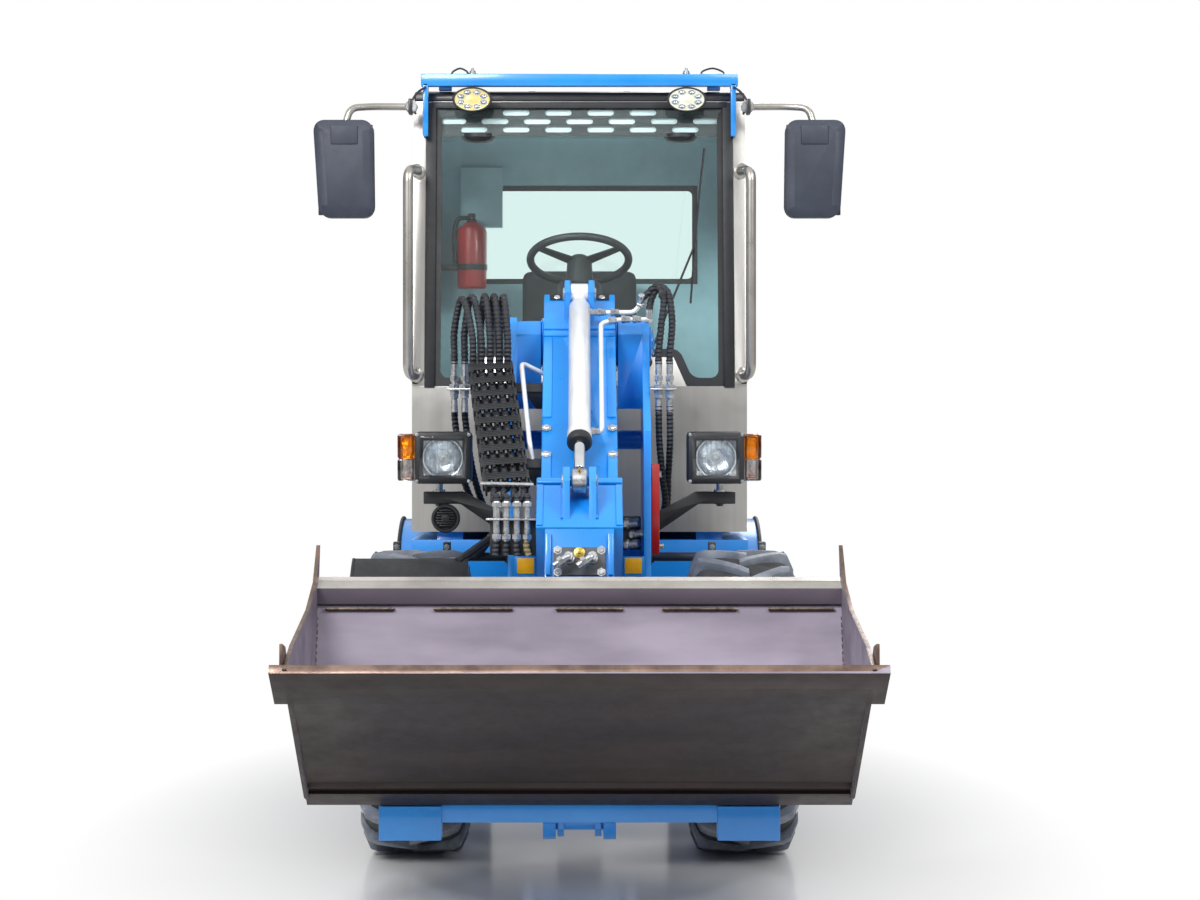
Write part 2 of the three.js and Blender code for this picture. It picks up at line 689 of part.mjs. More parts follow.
const outerBoom = join(
  cut(
    plateX(strip(-110, boomLength, -tube, tube), -boomHalf, boomHalf),
    plateX(strip(70, boomLength + 10, -tube + 12, tube - 12), -boomHalf + 12, boomHalf - 12),
  ),
  pinX(-112.7, 112.7, ...boomPivot, 74, 16),
  cut(
    plateX(strip(boomLength - 22, boomLength, -tube - 10, tube + 10), -117, 117),
    plateX(strip(600, 900, -tube + 12, tube - 12), -boomHalf + 12, boomHalf - 12),
  ),
  lugPlate,
  mirrorX(lugPlate),
  pinX(33, 60, ...liftLug, liftPin, 16),
  pinX(-60, -33, ...liftLug, liftPin, 16),
  basePlate,
  mirrorX(basePlate),
  pinX(-44, 44, ...extensionBase, 16, 16),
);
node(
  "outer_boom",
  outerBoom.subtract(pinX(-200, 200, ...boomPivot, turningBore(pivotRadius, 16), 16)),
  "blue",
);
const innerHalf = boomHalf - 12 - 5;
const innerTube = tube - 12 - 5;
const pad = 5 - GAP;
const headUp = 105;
const tiltBase = [-1251, 707];
const bucketPivot = [-1637, 207];
const kneePlate = plateX(
  [[-1250, 925], [-1292, 800], [-1340, 650], [-1655, 245], [-1672, 230], [-1679, 207], [-1672, 184], [-1655, 169],
    [-1630, 160], [-1600, 158], [-1225, 560],
    [-1150, 700], [-1130, 790]],
  60,
  92,
);
const eyeOfRod = at(815, extensionUp);
const rodEar = plateX([at(795, headUp - 2), at(925, headUp - 2), at(850, extensionUp + 30), at(790, extensionUp + 30)], 26, 45);
node(
  "inner_boom",
  join(
    plateX(strip(200, 800, -innerTube, innerTube), -innerHalf, innerHalf),
    plateX(strip(690, 755, -innerTube - pad, innerTube + pad), -innerHalf - pad, innerHalf + pad),
    plateX(strip(210, 260, -innerTube - pad, innerTube + pad), -innerHalf - pad, innerHalf + pad),
    plateX([at(781, -95), at(781, headUp), at(955, headUp), [-1250, 925], [-1130, 780], at(900, -95)], -116, 116),
    plateX([[-1250, 925], [-1292, 800], [-1296, 785], [-1150, 785], [-1120, 860]], -92, 92),
    kneePlate,
    mirrorX(kneePlate),
    pinX(-92, 92, ...bucketPivot, 22, 14),
    pinX(-92, 92, ...tiltBase, 20, 16),
    box(-62, 62, -1560, -1530, 236, 262),
    rodEar,
    mirrorX(rodEar),
    pinX(-45, 45, ...eyeOfRod, 14, 16),
  ),
  "blue",
);
// Extension cylinder on top of the boom.
const along = (a, u, x = 0) => [x, ...at(a, u)];
const eyeRing = (center, half, outer, pin) => cut(
  pinX(-half, half, ...center, outer, 14),
  pinX(-half - 1, half + 1, ...center, pin + RUN, 16),
);
const rodRadius = 15;
const extensionTube = cut(
  join(
    rod(along(27, extensionUp), along(640, extensionUp), 31, 16),
    rod(along(-45, extensionUp), along(40, extensionUp), 23, 16),
    pinX(-25.5, 25.5, ...extensionBase, 32, 16),
    rod(along(630, extensionUp), along(656, extensionUp), 34, 16),
    bentPipe(
      [along(45, extensionUp, 16), along(45, extensionUp, 160), along(38, extensionUp + 24, 178)],
      7,
      6,
    ),
    bentPipe(
      [along(600, extensionUp, 16), along(600, extensionUp, 62), along(110, extensionUp, 62),
        along(80, extensionUp, 90), along(80, extensionUp, 196)],
      7,
      6,
    ),
  ),
  pinX(-30, 30, ...extensionBase, 16 + RUN, 16),
  rod(along(60, extensionUp), along(660, extensionUp), rodRadius + RUN, 16),
);
node("extension_barrel", extensionTube, "white");
node(
  "extension_rod",
  cut(
    join(
      rod(along(66, extensionUp), along(790, extensionUp), rodRadius, 16),
      pinX(-21, 21, ...eyeOfRod, 35, 14),
    ),
    pinX(-30, 30, ...eyeOfRod, 14 + RUN, 16),
  ),
  "silver",
);

// ---------------------------------------------------------------- closed-linkage cylinders
const lerp = (a, b, t) => a.map((v, i) => v + (b[i] - v) * t);
const yz = (p) => [0, ...p];
function barrelOf(base, eye, radius, rodR, half, pin, mouth) {
  const length = Math.hypot(...base.map((v, i) => v - eye[i]));
  return cut(
    join(rod(lerp(base, eye, (radius * 0.6) / length), lerp(base, eye, mouth), radius, 14), half),
    pin,
    rod(lerp(base, eye, 46 / length), lerp(base, eye, mouth + 0.05), rodR + RUN, 14),
  );
}
node(
  "lift_barrel",
  barrelOf(
    yz(liftBase), yz(liftLug), 40, 22, pinX(-45, 45, ...liftBase, 36, 16),
    pinX(-60, 60, ...liftBase, 18 + RUN, 16), 0.88,
  ),
  "blue",
);
node(
  "lift_rod",
  cut(
    join(rod(lerp(yz(liftBase), yz(liftLug), 0.14), yz(liftLug), 22, 14), pinX(-27, 27, ...liftLug, 36, 14)),
    pinX(-30, 30, ...liftLug, liftPin + RUN, 16),
  ),
  "silver",
);
const backLine = [0.398, 0.918];
const tiltLug = [bucketPivot[0] + 221 * backLine[0], bucketPivot[1] + 221 * backLine[1]];
node(
  "tilt_barrel",
  barrelOf(
    yz(tiltBase), yz(tiltLug), 33, 18, pinX(-30, 30, ...tiltBase, 34, 14),
    pinX(-40, 40, ...tiltBase, 20 + RUN, 16), 0.84,
  ),
  "blue",
);
node(
  "tilt_rod",
  cut(
    join(rod(lerp(yz(tiltBase), yz(tiltLug), 0.175), yz(tiltLug), 18, 14), pinX(-27, 27, ...tiltLug, 34, 14)),
    pinX(-30, 30, ...tiltLug, 18 + RUN, 16),
  ),
  "silver",
);
const pinZ = (p, half, r, sides = 16) => rod([p[0], p[1], p[2] - half], [p[0], p[1], p[2] + half], r, sides);
node(
  "steering_barrel",
  barrelOf(steerBase, steerEye, 28, 14, pinZ(steerBase, 26, 28), pinZ(steerBase, 40, 15 + RUN), 0.6),
  "black",
);
node(
  "steering_rod",
  cut(
    join(rod(lerp(steerBase, steerEye, 0.36), steerEye, 14, 14), pinZ(steerEye, 26, 28)),
    pinZ(steerEye, 40, 15 + RUN),
  ),
  "silver",
);

// ---------------------------------------------------------------- bucket
const lip = [-2310, 643];
const heel = [-1761, 280];
const backTop = [-1531, 812];
const skin = 8;
const bucketInside = [
  [lip[0] + 6, lip[1] + 12], [heel[0] + 10, heel[1] + 48], [heel[0] + 38, heel[1] + 58], [backTop[0] - 4, backTop[1] - 6],
  [backTop[0] - 4, 1000], [-2400, 1000], [-2400, lip[1] + 60],
];
const sideOutline = [
  lip, [heel[0] - 60, heel[1] + 12], [heel[0], heel[1] - 2], [heel[0] + 22, heel[1] + 30], backTop, [-1502, 895],
  [-1600, 805], [-1786, 750], [-2159, 697], [-2320, 656],
];
const sheetFloor = [lip, [heel[0], heel[1]], [heel[0] + 12, heel[1] + 26], [heel[0] + 4, heel[1] + 42], [lip[0] + 4, lip[1] + 12]];
const sheetBack = [[heel[0], heel[1]], [heel[0] + 12, heel[1] + 6], backTop, [backTop[0] - 10, backTop[1] + 4], [heel[0] - 4, heel[1] + 30]];
const bucketShell = join(
  plateX(sheetFloor.slice(0, 2).concat([[heel[0] + 8, heel[1] + 14], [lip[0] + 6, lip[1] + 13]]), -bucketHalf, bucketHalf),
  plateX(sheetBack, -bucketHalf, bucketHalf),
  plateX([[heel[0] - 50, heel[1] + 20], [heel[0] - 2, heel[1] - 14], [heel[0] + 34, heel[1] + 72], [heel[0] + 6, heel[1] + 60]],
    -bucketHalf, bucketHalf),
  // top stiffener folded inwards
  plateX([[backTop[0], backTop[1]], [backTop[0] - 58, backTop[1] - 22], [backTop[0] - 52, backTop[1] - 62],
    [backTop[0] - 30, backTop[1] - 74]], -bucketHalf, bucketHalf),
  plateX(sideOutline, bucketHalf - 8, bucketHalf + 2),
  plateX(sideOutline, -bucketHalf - 2, -bucketHalf + 8),
  // lip bar
  plateX([[lip[0] - 10, lip[1] + 4], [lip[0] + 116, lip[1] - 80], [lip[0] + 128, lip[1] - 62], [lip[0] + 2, lip[1] + 22]],
    -707, 707),
);
node("bucket", bucketShell, "steel");
const behind = GAP; // the carrier lies against the bucket's back
const backLean = (backTop[0] - heel[0] - 12) / (backTop[1] - heel[1] - 6);
const back = (z, off) => [heel[0] + 12 + (z - heel[1] - 6) * backLean + off * 1.09, z];
const pocket = box(342, 497, -1760, -1690, 177, 262);
const carrierEar = plateX(
  [back(330, behind + 4), [-1668, 250], [-1668, 190], [-1637, 168], [-1600, 190], [-1598, 230], [-1508, 395], [-1520, 440],
    [-1556, 452], back(480, behind + 4)],
  39,
  55,
);
const beam = plateX([back(300, behind + 2), back(300, 60), [-1680, 262], [-1684, 220], [-1748, 220], [-1748, 262]], -497, 497);
const carrier = cut(
  join(
    plateX([back(286, behind), back(500, behind), back(500, behind + 16), back(286, behind + 16)], -420, 420),
    beam,
    pocket,
    mirrorX(pocket),
    carrierEar,
    mirrorX(carrierEar),
    pinX(39, 58, ...tiltLug, 18, 16),
    pinX(-58, -39, ...tiltLug, 18, 16),
  ),
  plateX([back(270, GAP), back(812, GAP), back(812, -200), back(270, -200)], -700, 700),
  pinX(-200, 200, ...bucketPivot, turningBore(22, 14), 14),
);
node("tool_carrier", carrier, "blue");

// ---------------------------------------------------------------- hoses and the energy chain
const hoseRadius = 11;
const chainX = -195;
const chainTopX = -256; // the chain leans outwards towards its top
const chainRun = plateUp(
  [[chainTopX - 64, 250], [chainTopX + 64, 250], [chainX + 64, 800], [chainX - 64, 800]],
  extensionUp - 62,
  extensionUp - 24,
);
node(
  "energy_chain",
  join(
    chainRun,
    plateX(strip(300, 340, 20, extensionUp - 60), chainX - 40, -boomHalf - GAP),
    plateX(strip(640, 680, 20, extensionUp - 60), chainX - 40, -boomHalf - GAP),
  ),
  "black",
);

const nearFitting = (x, y, z0, z1) => join(
  rod([x, y, z0], [x, y, z1], 10, 6),
  rod([x, y, 1284], [x, y, 1314], 15, 6),
);
const bulkheadZ = [1296, 1302];
node(
  "left_bulkhead",
  join(
    box(towerOuter + GAP, 280, -640, -590, ...bulkheadZ),
    nearFitting(229, -615, 1240, 1370),
    nearFitting(261, -615, 1240, 1370),
    hose([[229, -615, 1250], [231, -615, 1150], [240, -602, 1050], [248, -590, 960], [215, -590, 900]], hoseRadius),
    hose([[261, -615, 1250], [262, -610, 1150], [258, -585, 1050], [252, -575, 950], [215, -560, 870]], hoseRadius),
    box(towerOuter + GAP, 222, -615, -545, 850, 915),
  ),
  "silver",
);
const loopEnd = 1370 + GAP;
node(
  "left_hose_loops",
  join(
    hose([[229, -615, loopEnd], [229, -615, 1395], [236, -610, 1480], [244, -590, 1600], [224, -566, 1636], [196, -560, 1600],
      [...along(36, extensionUp + 44, 180)]], hoseRadius),
    hose([[261, -615, loopEnd], [261, -615, 1395], [268, -610, 1500], [258, -585, 1622], [232, -560, 1640], [210, -560, 1580],
      [...along(70, extensionUp + 16, 201)]], hoseRadius),
    box(228, 252, -600, -572, 1600, 1626),
  ),
  "rubber",
);
node(
  "right_bulkhead",
  join(
    box(-382, -towerOuter - GAP, -640, -590, ...bulkheadZ),
    nearFitting(-362, -615, 1240, 1370),
    nearFitting(-332, -615, 1240, 1370),
    nearFitting(-286, -615, 1240, 1370),
    nearFitting(-258, -615, 1240, 1370),
    nearFitting(-230, -615, 1240, 1370),
    hose([[-362, -615, 1250], [-360, -584, 1195], [-340, -572, 1050], [-300, -575, 960], [-215, -590, 900]],
      hoseRadius),
    hose([[-332, -615, 1250], [-330, -582, 1195], [-308, -565, 1050], [-270, -560, 940], [-215, -560, 870]],
      hoseRadius),
    box(-222, -towerOuter - GAP, -615, -545, 850, 915),
  ),
  "silver",
);
const chainTop = along(250 - GAP, extensionUp - 43, 0);
const loopTo = (x0, x1, top) => hose(
  [[x0, -615, loopEnd], [x0, -615, 1395], [x0, -612, 1470], [(x0 * 2 + x1) / 3, -632, top], [(x0 + x1 * 2) / 3, -668, top - 20],
    [x1, chainTop[1] - 2, chainTop[2] + 80], [x1, chainTop[1] + 8, chainTop[2] + 6]],
  hoseRadius,
);
node(
  "right_hose_loops",
  join(
    loopTo(-362, -299, 1555),
    loopTo(-332, -277, 1560),
    loopTo(-286, -256, 1562),
    loopTo(-258, -235, 1562),
    loopTo(-230, -214, 1560),
    plateX(strip(222, 250 - GAP, extensionUp - 60, extensionUp - 26), chainTopX - 55, chainTopX + 55),
  ),
  "rubber",
);
const tailTop = 800 + GAP;
const tailHose = (x0, x1) => hose(
  [along(tailTop + 4, extensionUp - 43, x0), along(840, extensionUp - 50, x0), [x1, -1190, 1010], [x1, -1200, 952]],
  9,
  8,
);
node(
  "right_hose_tails",
  join(
    plateX(strip(tailTop, tailTop + 14, extensionUp - 60, extensionUp - 26), chainX - 50, chainX + 50),
    tailHose(-235, -222),
    tailHose(-208, -196),
    tailHose(-181, -168),
    tailHose(-154, -140),
    box(-250, -116 - GAP, -1225, -1175, 946, 952),
    box(-240, -116 - GAP, -1206, -1198, 850, 948),
  ),
  "rubber",
);

// ---------------------------------------------------------------- export
const loader = new THREE.Group();
for (const mesh of nodes) loader.add(mesh);
export default loader;
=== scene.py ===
# %% [markdown]
# # A compact articulated wheel loader
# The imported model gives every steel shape, its place and the body it rides on. This lesson keeps those
# shapes, rounds their edges, and adds what goes on last: tread, bolts, hoses, lamps, glass and paint.
# Lengths are in metres, +Z is up and the bucket looks along -Y.

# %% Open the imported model
import json
import math

import bpy
from mathutils import Matrix, Vector

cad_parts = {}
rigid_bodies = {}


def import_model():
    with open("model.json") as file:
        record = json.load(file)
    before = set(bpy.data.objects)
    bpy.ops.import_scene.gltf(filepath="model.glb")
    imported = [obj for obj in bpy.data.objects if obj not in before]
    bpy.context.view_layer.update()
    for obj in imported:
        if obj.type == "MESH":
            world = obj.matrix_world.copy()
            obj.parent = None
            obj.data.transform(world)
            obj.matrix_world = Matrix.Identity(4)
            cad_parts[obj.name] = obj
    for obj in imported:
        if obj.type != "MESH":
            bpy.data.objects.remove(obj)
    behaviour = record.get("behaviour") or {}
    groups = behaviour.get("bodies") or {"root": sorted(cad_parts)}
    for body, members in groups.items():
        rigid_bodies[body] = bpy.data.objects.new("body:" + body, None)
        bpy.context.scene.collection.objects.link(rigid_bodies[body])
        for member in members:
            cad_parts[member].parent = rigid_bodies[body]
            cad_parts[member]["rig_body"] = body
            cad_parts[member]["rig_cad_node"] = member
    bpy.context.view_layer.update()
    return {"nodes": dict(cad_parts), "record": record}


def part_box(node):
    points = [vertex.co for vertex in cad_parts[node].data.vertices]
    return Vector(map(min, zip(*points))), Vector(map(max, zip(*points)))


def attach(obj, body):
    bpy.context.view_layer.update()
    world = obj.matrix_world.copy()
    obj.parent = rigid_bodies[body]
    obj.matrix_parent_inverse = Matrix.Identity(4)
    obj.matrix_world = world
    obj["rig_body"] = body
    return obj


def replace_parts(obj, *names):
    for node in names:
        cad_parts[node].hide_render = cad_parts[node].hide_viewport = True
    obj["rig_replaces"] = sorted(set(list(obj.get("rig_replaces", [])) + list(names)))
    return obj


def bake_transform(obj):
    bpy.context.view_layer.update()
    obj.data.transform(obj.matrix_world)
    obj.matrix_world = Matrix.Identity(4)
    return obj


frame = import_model()
NODES = frame["nodes"]
SHIFT = (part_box("front_axle")[0].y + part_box("front_axle")[1].y) / 2 + 0.820


# %% [markdown]
# Places below are written in millimetres from the articulation pin, as a workshop drawing would give them.
# One small helper turns such a place into the model's own metres, so no piece needs fitting by eye.

# %% Places in millimetres from the articulation pin
def here(x, y, z):
    return Vector((x / 1000, y / 1000 + SHIFT, z / 1000))


SLOPE = math.radians(38)
PIVOT = (-434, 1435)


def on_boom(x, along, up):
    y = PIVOT[0] - along * math.cos(SLOPE) - up * math.sin(SLOPE)
    z = PIVOT[1] - along * math.sin(SLOPE) + up * math.cos(SLOPE)
    return here(x, y, z)


print("boom foot", tuple(round(v, 3) for v in on_boom(0, 0, 0)))

# %% [markdown]
# ## Finishes
# Real paint and steel are never one flat colour. Two small node groups give the variation: soft blotches
# for paint, dust and mill scale, and long streaks for brushed or rolled metal. They only put out masks and
# heights; each material keeps its own shader, so every finish can be read on its own.


# %% Node groups for blotches and streaks
def linear(r, g, b):
    def one(v):
        v /= 255
        return v / 12.92 if v <= 0.04045 else ((v + 0.055) / 1.055) ** 2.4

    return (one(r), one(g), one(b), 1.0)


def new_group(name, inputs, outputs):
    group = bpy.data.node_groups.new(name, "ShaderNodeTree")
    for label, kind, value in inputs:
        socket = group.interface.new_socket(label, in_out="INPUT", socket_type=kind)
        if value is not None:
            socket.default_value = value
    for label in outputs:
        group.interface.new_socket(label, in_out="OUTPUT", socket_type="NodeSocketFloat")
    return group, group.nodes.new("NodeGroupInput"), group.nodes.new("NodeGroupOutput")


blotches, start, end = new_group(
    "blotches",
    [
        ("Vector", "NodeSocketVector", None),
        ("Size", "NodeSocketFloat", 4.0),
        ("From", "NodeSocketFloat", 0.4),
        ("To", "NodeSocketFloat", 0.65),
    ],
    ["Mask", "Height"],
)
noise = blotches.nodes.new("ShaderNodeTexNoise")
noise.inputs["Detail"].default_value = 7
noise.inputs["Roughness"].default_value = 0.62
ramp = blotches.nodes.new("ShaderNodeMapRange")
blotches.links.new(start.outputs["Vector"], noise.inputs["Vector"])
blotches.links.new(start.outputs["Size"], noise.inputs["Scale"])
blotches.links.new(noise.outputs["Fac"], ramp.inputs["Value"])
blotches.links.new(start.outputs["From"], ramp.inputs["From Min"])
blotches.links.new(start.outputs["To"], ramp.inputs["From Max"])
blotches.links.new(ramp.outputs["Result"], end.inputs["Mask"])
blotches.links.new(noise.outputs["Fac"], end.inputs["Height"])

streaks, start, end = new_group(
    "streaks",
    [("Vector", "NodeSocketVector", None), ("Stretch", "NodeSocketVector", (1.0, 1.0, 1.0))],
    ["Mask", "Height"],
)
scaled = streaks.nodes.new("ShaderNodeVectorMath")
scaled.operation = "MULTIPLY"
fine = streaks.nodes.new("ShaderNodeTexNoise")
fine.inputs["Scale"].default_value = 1
fine.inputs["Detail"].default_value = 4
spread = streaks.nodes.new("ShaderNodeMapRange")
spread.inputs["From Min"].default_value = 0.35
spread.inputs["From Max"].default_value = 0.68
streaks.links.new(start.outputs["Vector"], scaled.inputs[0])
streaks.links.new(start.outputs["Stretch"], scaled.inputs[1])
streaks.links.new(scaled.outputs["Vector"], fine.inputs["Vector"])
streaks.links.new(fine.outputs["Fac"], spread.inputs["Value"])
streaks.links.new(spread.outputs["Result"], end.inputs["Mask"])
streaks.links.new(fine.outputs["Fac"], end.inputs["Height"])
print("groups", [g.name for g in (blotches, streaks)])

# %% [markdown]
# A finish is a base colour with a second tone that the blotches bring in, a second mask that varies how
# rough it is, and a fine bump. One helper wires that once; the named finishes below only choose values.


# %% The wiring that every solid finish shares
def finish(
    name, tone, other, rough, metal=0.0, size=3.0, bump=0.15, grain=220.0, coat=0.0, stretch=None,
    amount=1.0, distance=0.0006,
):
    material = bpy.data.materials.new(name)
    material.use_nodes = True
    tree = material.node_tree
    shader = tree.nodes["Principled BSDF"]
    place = tree.nodes.new("ShaderNodeTexCoord")

    def grouped(group, **values):
        node = tree.nodes.new("ShaderNodeGroup")
        node.node_tree = group
        tree.links.new(place.outputs["Object"], node.inputs["Vector"])
        for key, value in values.items():
            node.inputs[key].default_value = value
        return node

    if stretch:
        wide = grouped(streaks, Stretch=stretch)
    else:
        wide = grouped(blotches, Size=size)
    mix = tree.nodes.new("ShaderNodeMix")
    mix.data_type = "RGBA"
    mix.inputs[6].default_value = linear(*tone)
    mix.inputs[7].default_value = linear(*other)
    level = tree.nodes.new("ShaderNodeMath")
    level.operation = "MULTIPLY"
    level.inputs[1].default_value = amount
    tree.links.new(wide.outputs["Mask"], level.inputs[0])
    tree.links.new(level.outputs[0], mix.inputs["Factor"])
    tree.links.new(mix.outputs[2], shader.inputs["Base Color"])
    second = grouped(blotches, Size=size * 5, From=0.3, To=0.7)
    sheen = tree.nodes.new("ShaderNodeMapRange")
    sheen.inputs["To Min"].default_value = rough[0]
    sheen.inputs["To Max"].default_value = rough[1]
    tree.links.new(second.outputs["Mask"], sheen.inputs["Value"])
    tree.links.new(sheen.outputs["Result"], shader.inputs["Roughness"])
    shader.inputs["Metallic"].default_value = metal
    shader.inputs["Coat Weight"].default_value = coat
    shader.inputs["Coat Roughness"].default_value = 0.12
    skin = grouped(blotches, Size=grain)
    raised = tree.nodes.new("ShaderNodeBump")
    raised.inputs["Strength"].default_value = bump
    raised.inputs["Distance"].default_value = distance
    tree.links.new(skin.outputs["Height"], raised.inputs["Height"])
    tree.links.new(raised.outputs["Normal"], shader.inputs["Normal"])
    return material


FINISH = {}


def named(name, *values, **more):
    FINISH[name] = finish(name, *values, **more)


named("blue_paint", (22, 144, 232), (12, 128, 214), (0.26, 0.42), 0.0, 2.0, 0.08, coat=0.6)
# A darker copy of the blue paint, made as painted shade; no piece uses it.
named("blue_shade", (9, 62, 128), (7, 48, 104), (0.35, 0.5), 0.0, 2.0, 0.08, coat=0.4)
named("bare_steel", (58, 49, 47), (42, 36, 35), (0.42, 0.6), 0.5, 3.2, 0.2, 160, stretch=(2.2, 9, 14))
named("edge_steel", (124, 102, 90), (88, 70, 62), (0.3, 0.5), 0.6, 14, 0.3, 200)
named("weld_bead", (70, 62, 60), (112, 98, 86), (0.4, 0.6), 0.7, 60, 0.5, 300)
named(
    "stainless", (176, 174, 170), (162, 160, 156), (0.3, 0.4), 0.7, 3, 0.04, 300,
    stretch=(60, 60, 2.0), amount=0.5,
)
named("rail_steel", (186, 182, 176), (160, 156, 150), (0.26, 0.34), 0.8, 4, 0.01)
named("black_paint", (30, 31, 34), (42, 43, 46), (0.38, 0.55), 0.0, 5, 0.15, coat=0.2)
named("black_plastic", (22, 23, 27), (32, 34, 38), (0.45, 0.6), 0.0, 12, 0.35, 420)
named("mirror_plastic", (44, 50, 64), (54, 60, 74), (0.5, 0.62), 0.0, 9, 0.5, 520)
named("tyre_rubber", (40, 41, 44), (62, 62, 63), (0.62, 0.85), 0.0, 9, 0.4, 240)
# The lugs' rubber is a lighter blue-grey than the carcass: a painted sky highlight.
named("tread_rubber", (92, 98, 108), (128, 134, 144), (0.4, 0.65), 0.0, 12, 0.4, 200)
named("rim_paint", (176, 178, 182), (150, 152, 156), (0.35, 0.5), 0.2, 5, 0.12, coat=0.3)
named("zinc", (206, 208, 210), (164, 166, 168), (0.22, 0.4), 0.9, 60, 0.15, 500)
named("brass", (196, 168, 88), (160, 132, 64), (0.25, 0.4), 0.95, 60, 0.15, 500)
named("chrome", (226, 228, 230), (204, 206, 210), (0.07, 0.14), 1.0, 8, 0.02, 300)
named("barrel_paint", (232, 234, 236), (212, 214, 218), (0.28, 0.4), 0.35, 6, 0.1, coat=0.4)
named("red_paint", (190, 22, 24), (158, 14, 18), (0.3, 0.44), 0.0, 6, 0.12, coat=0.5)
named("yellow_plate", (240, 176, 20), (222, 156, 10), (0.4, 0.5), 0.0, 20, 0.05)
named("cast_grey", (84, 88, 92), (62, 66, 70), (0.5, 0.7), 0.3, 12, 0.5, 140)
named("seat_cloth", (34, 36, 40), (48, 50, 56), (0.8, 0.92), 0.0, 30, 0.8, 700)
# The lining's own grey-green is lifted and tinted teal as painted light and painted sky reflection.
named("cab_lining", (180, 212, 220), (162, 196, 206), (0.6, 0.75), 0.0, 6, 0.3, 300)
# Darker than the inside steel, as painted shade on the stiffener.
named("stiffener_steel", (114, 105, 116), (92, 84, 94), (0.4, 0.55), 0.5, 3, 0.2, 160, stretch=(2.2, 7, 9))
named("inside_steel", (146, 138, 152), (116, 108, 122), (0.4, 0.58), 0.5, 3, 0.2, 160, stretch=(2.2, 7, 9))
print("finishes", len(FINISH))

# %% [markdown]
# Hoses wear a spiral guard, so their rubber gets fine rings. The rings follow the height of the piece, which
# suits hoses that mostly hang. Glass, lamp lenses and small lights have shaders of their own.


# %% Hose guard, glass and lamp materials
def ringed(name, tone, other, pitch):
    material = finish(name, tone, other, (0.5, 0.7), 0.0, 20, 0.2, 260)
    tree = material.node_tree
    wave = tree.nodes.new("ShaderNodeTexWave")
    wave.bands_direction = "Z"
    wave.inputs["Scale"].default_value = pitch
    wave.inputs["Distortion"].default_value = 0.6
    bump = tree.nodes.new("ShaderNodeBump")
    bump.inputs["Strength"].default_value = 0.9
    bump.inputs["Distance"].default_value = 0.003
    place = next(n for n in tree.nodes if n.type == "TEX_COORD")
    tree.links.new(place.outputs["Object"], wave.inputs["Vector"])
    tree.links.new(wave.outputs["Fac"], bump.inputs["Height"])
    tree.links.new(bump.outputs["Normal"], tree.nodes["Principled BSDF"].inputs["Normal"])
    return material


def clear(name, tone, rough, ior=1.45):
    material = bpy.data.materials.new(name)
    material.use_nodes = True
    tree = material.node_tree
    shader = tree.nodes["Principled BSDF"]
    place = tree.nodes.new("ShaderNodeTexCoord")
    haze = tree.nodes.new("ShaderNodeGroup")
    haze.node_tree = blotches
    haze.inputs["Size"].default_value = 3
    sheen = tree.nodes.new("ShaderNodeMapRange")
    sheen.inputs["To Min"].default_value = rough
    sheen.inputs["To Max"].default_value = rough + 0.03
    tree.links.new(place.outputs["Object"], haze.inputs["Vector"])
    tree.links.new(haze.outputs["Mask"], sheen.inputs["Value"])
    tree.links.new(sheen.outputs["Result"], shader.inputs["Roughness"])
    shader.inputs["Base Color"].default_value = linear(*tone)
    shader.inputs["Transmission Weight"].default_value = 1
    shader.inputs["IOR"].default_value = ior
    open_air = tree.nodes.new("ShaderNodeBsdfTransparent")
    open_air.inputs["Color"].default_value = linear(*[min(255, v + 14) for v in tone])
    rays = tree.nodes.new("ShaderNodeLightPath")
    passing = tree.nodes.new("ShaderNodeMath")
    passing.operation = "MAXIMUM"
    choose = tree.nodes.new("ShaderNodeMixShader")
    output = next(n for n in tree.nodes if n.type == "OUTPUT_MATERIAL")
    tree.links.new(rays.outputs["Is Shadow Ray"], passing.inputs[0])
    tree.links.new(rays.outputs["Is Diffuse Ray"], passing.inputs[1])
    tree.links.new(passing.outputs[0], choose.inputs["Fac"])
    tree.links.new(shader.outputs["BSDF"], choose.inputs[1])
    tree.links.new(open_air.outputs["BSDF"], choose.inputs[2])
    tree.links.new(choose.outputs["Shader"], output.inputs["Surface"])
    return material


FINISH["hose_guard"] = ringed("hose_guard", (30, 32, 38), (44, 46, 54), 26)
FINISH["tan_hose"] = ringed("tan_hose", (150, 136, 96), (120, 108, 74), 26)
FINISH["tinted_glass"] = clear("tinted_glass", (236, 249, 247), 0.0)
FINISH["lens_glass"] = clear("lens_glass", (240, 244, 246), 0.03)
FINISH["amber_lens"] = clear("amber_lens", (255, 140, 12), 0.12)
FINISH["red_lens"] = clear("red_lens", (226, 30, 24), 0.12)
FINISH["clear_lens"] = clear("clear_lens", (226, 214, 206), 0.12)
named("reflector", (222, 226, 230), (196, 200, 206), (0.06, 0.2), 1.0, 30, 0.5, 60, distance=0.004)
named("led_dome", (244, 240, 220), (230, 220, 190), (0.2, 0.3), 0.0, 40, 0.1)
named("pale_liner", (246, 252, 255), (236, 246, 252), (0.5, 0.6), 0.0, 5, 0.02)
named("amber_dome", (246, 222, 150), (236, 200, 110), (0.2, 0.3), 0.0, 40, 0.1)
print("finishes", len(FINISH))

# %% [markdown]
# ## Room, lights and camera
# A plain pale floor that fades to white, one large soft lamp high on the left, weaker ones on the right and
# behind, and a sky that is brighter overhead. They come first so that every later piece can be judged.

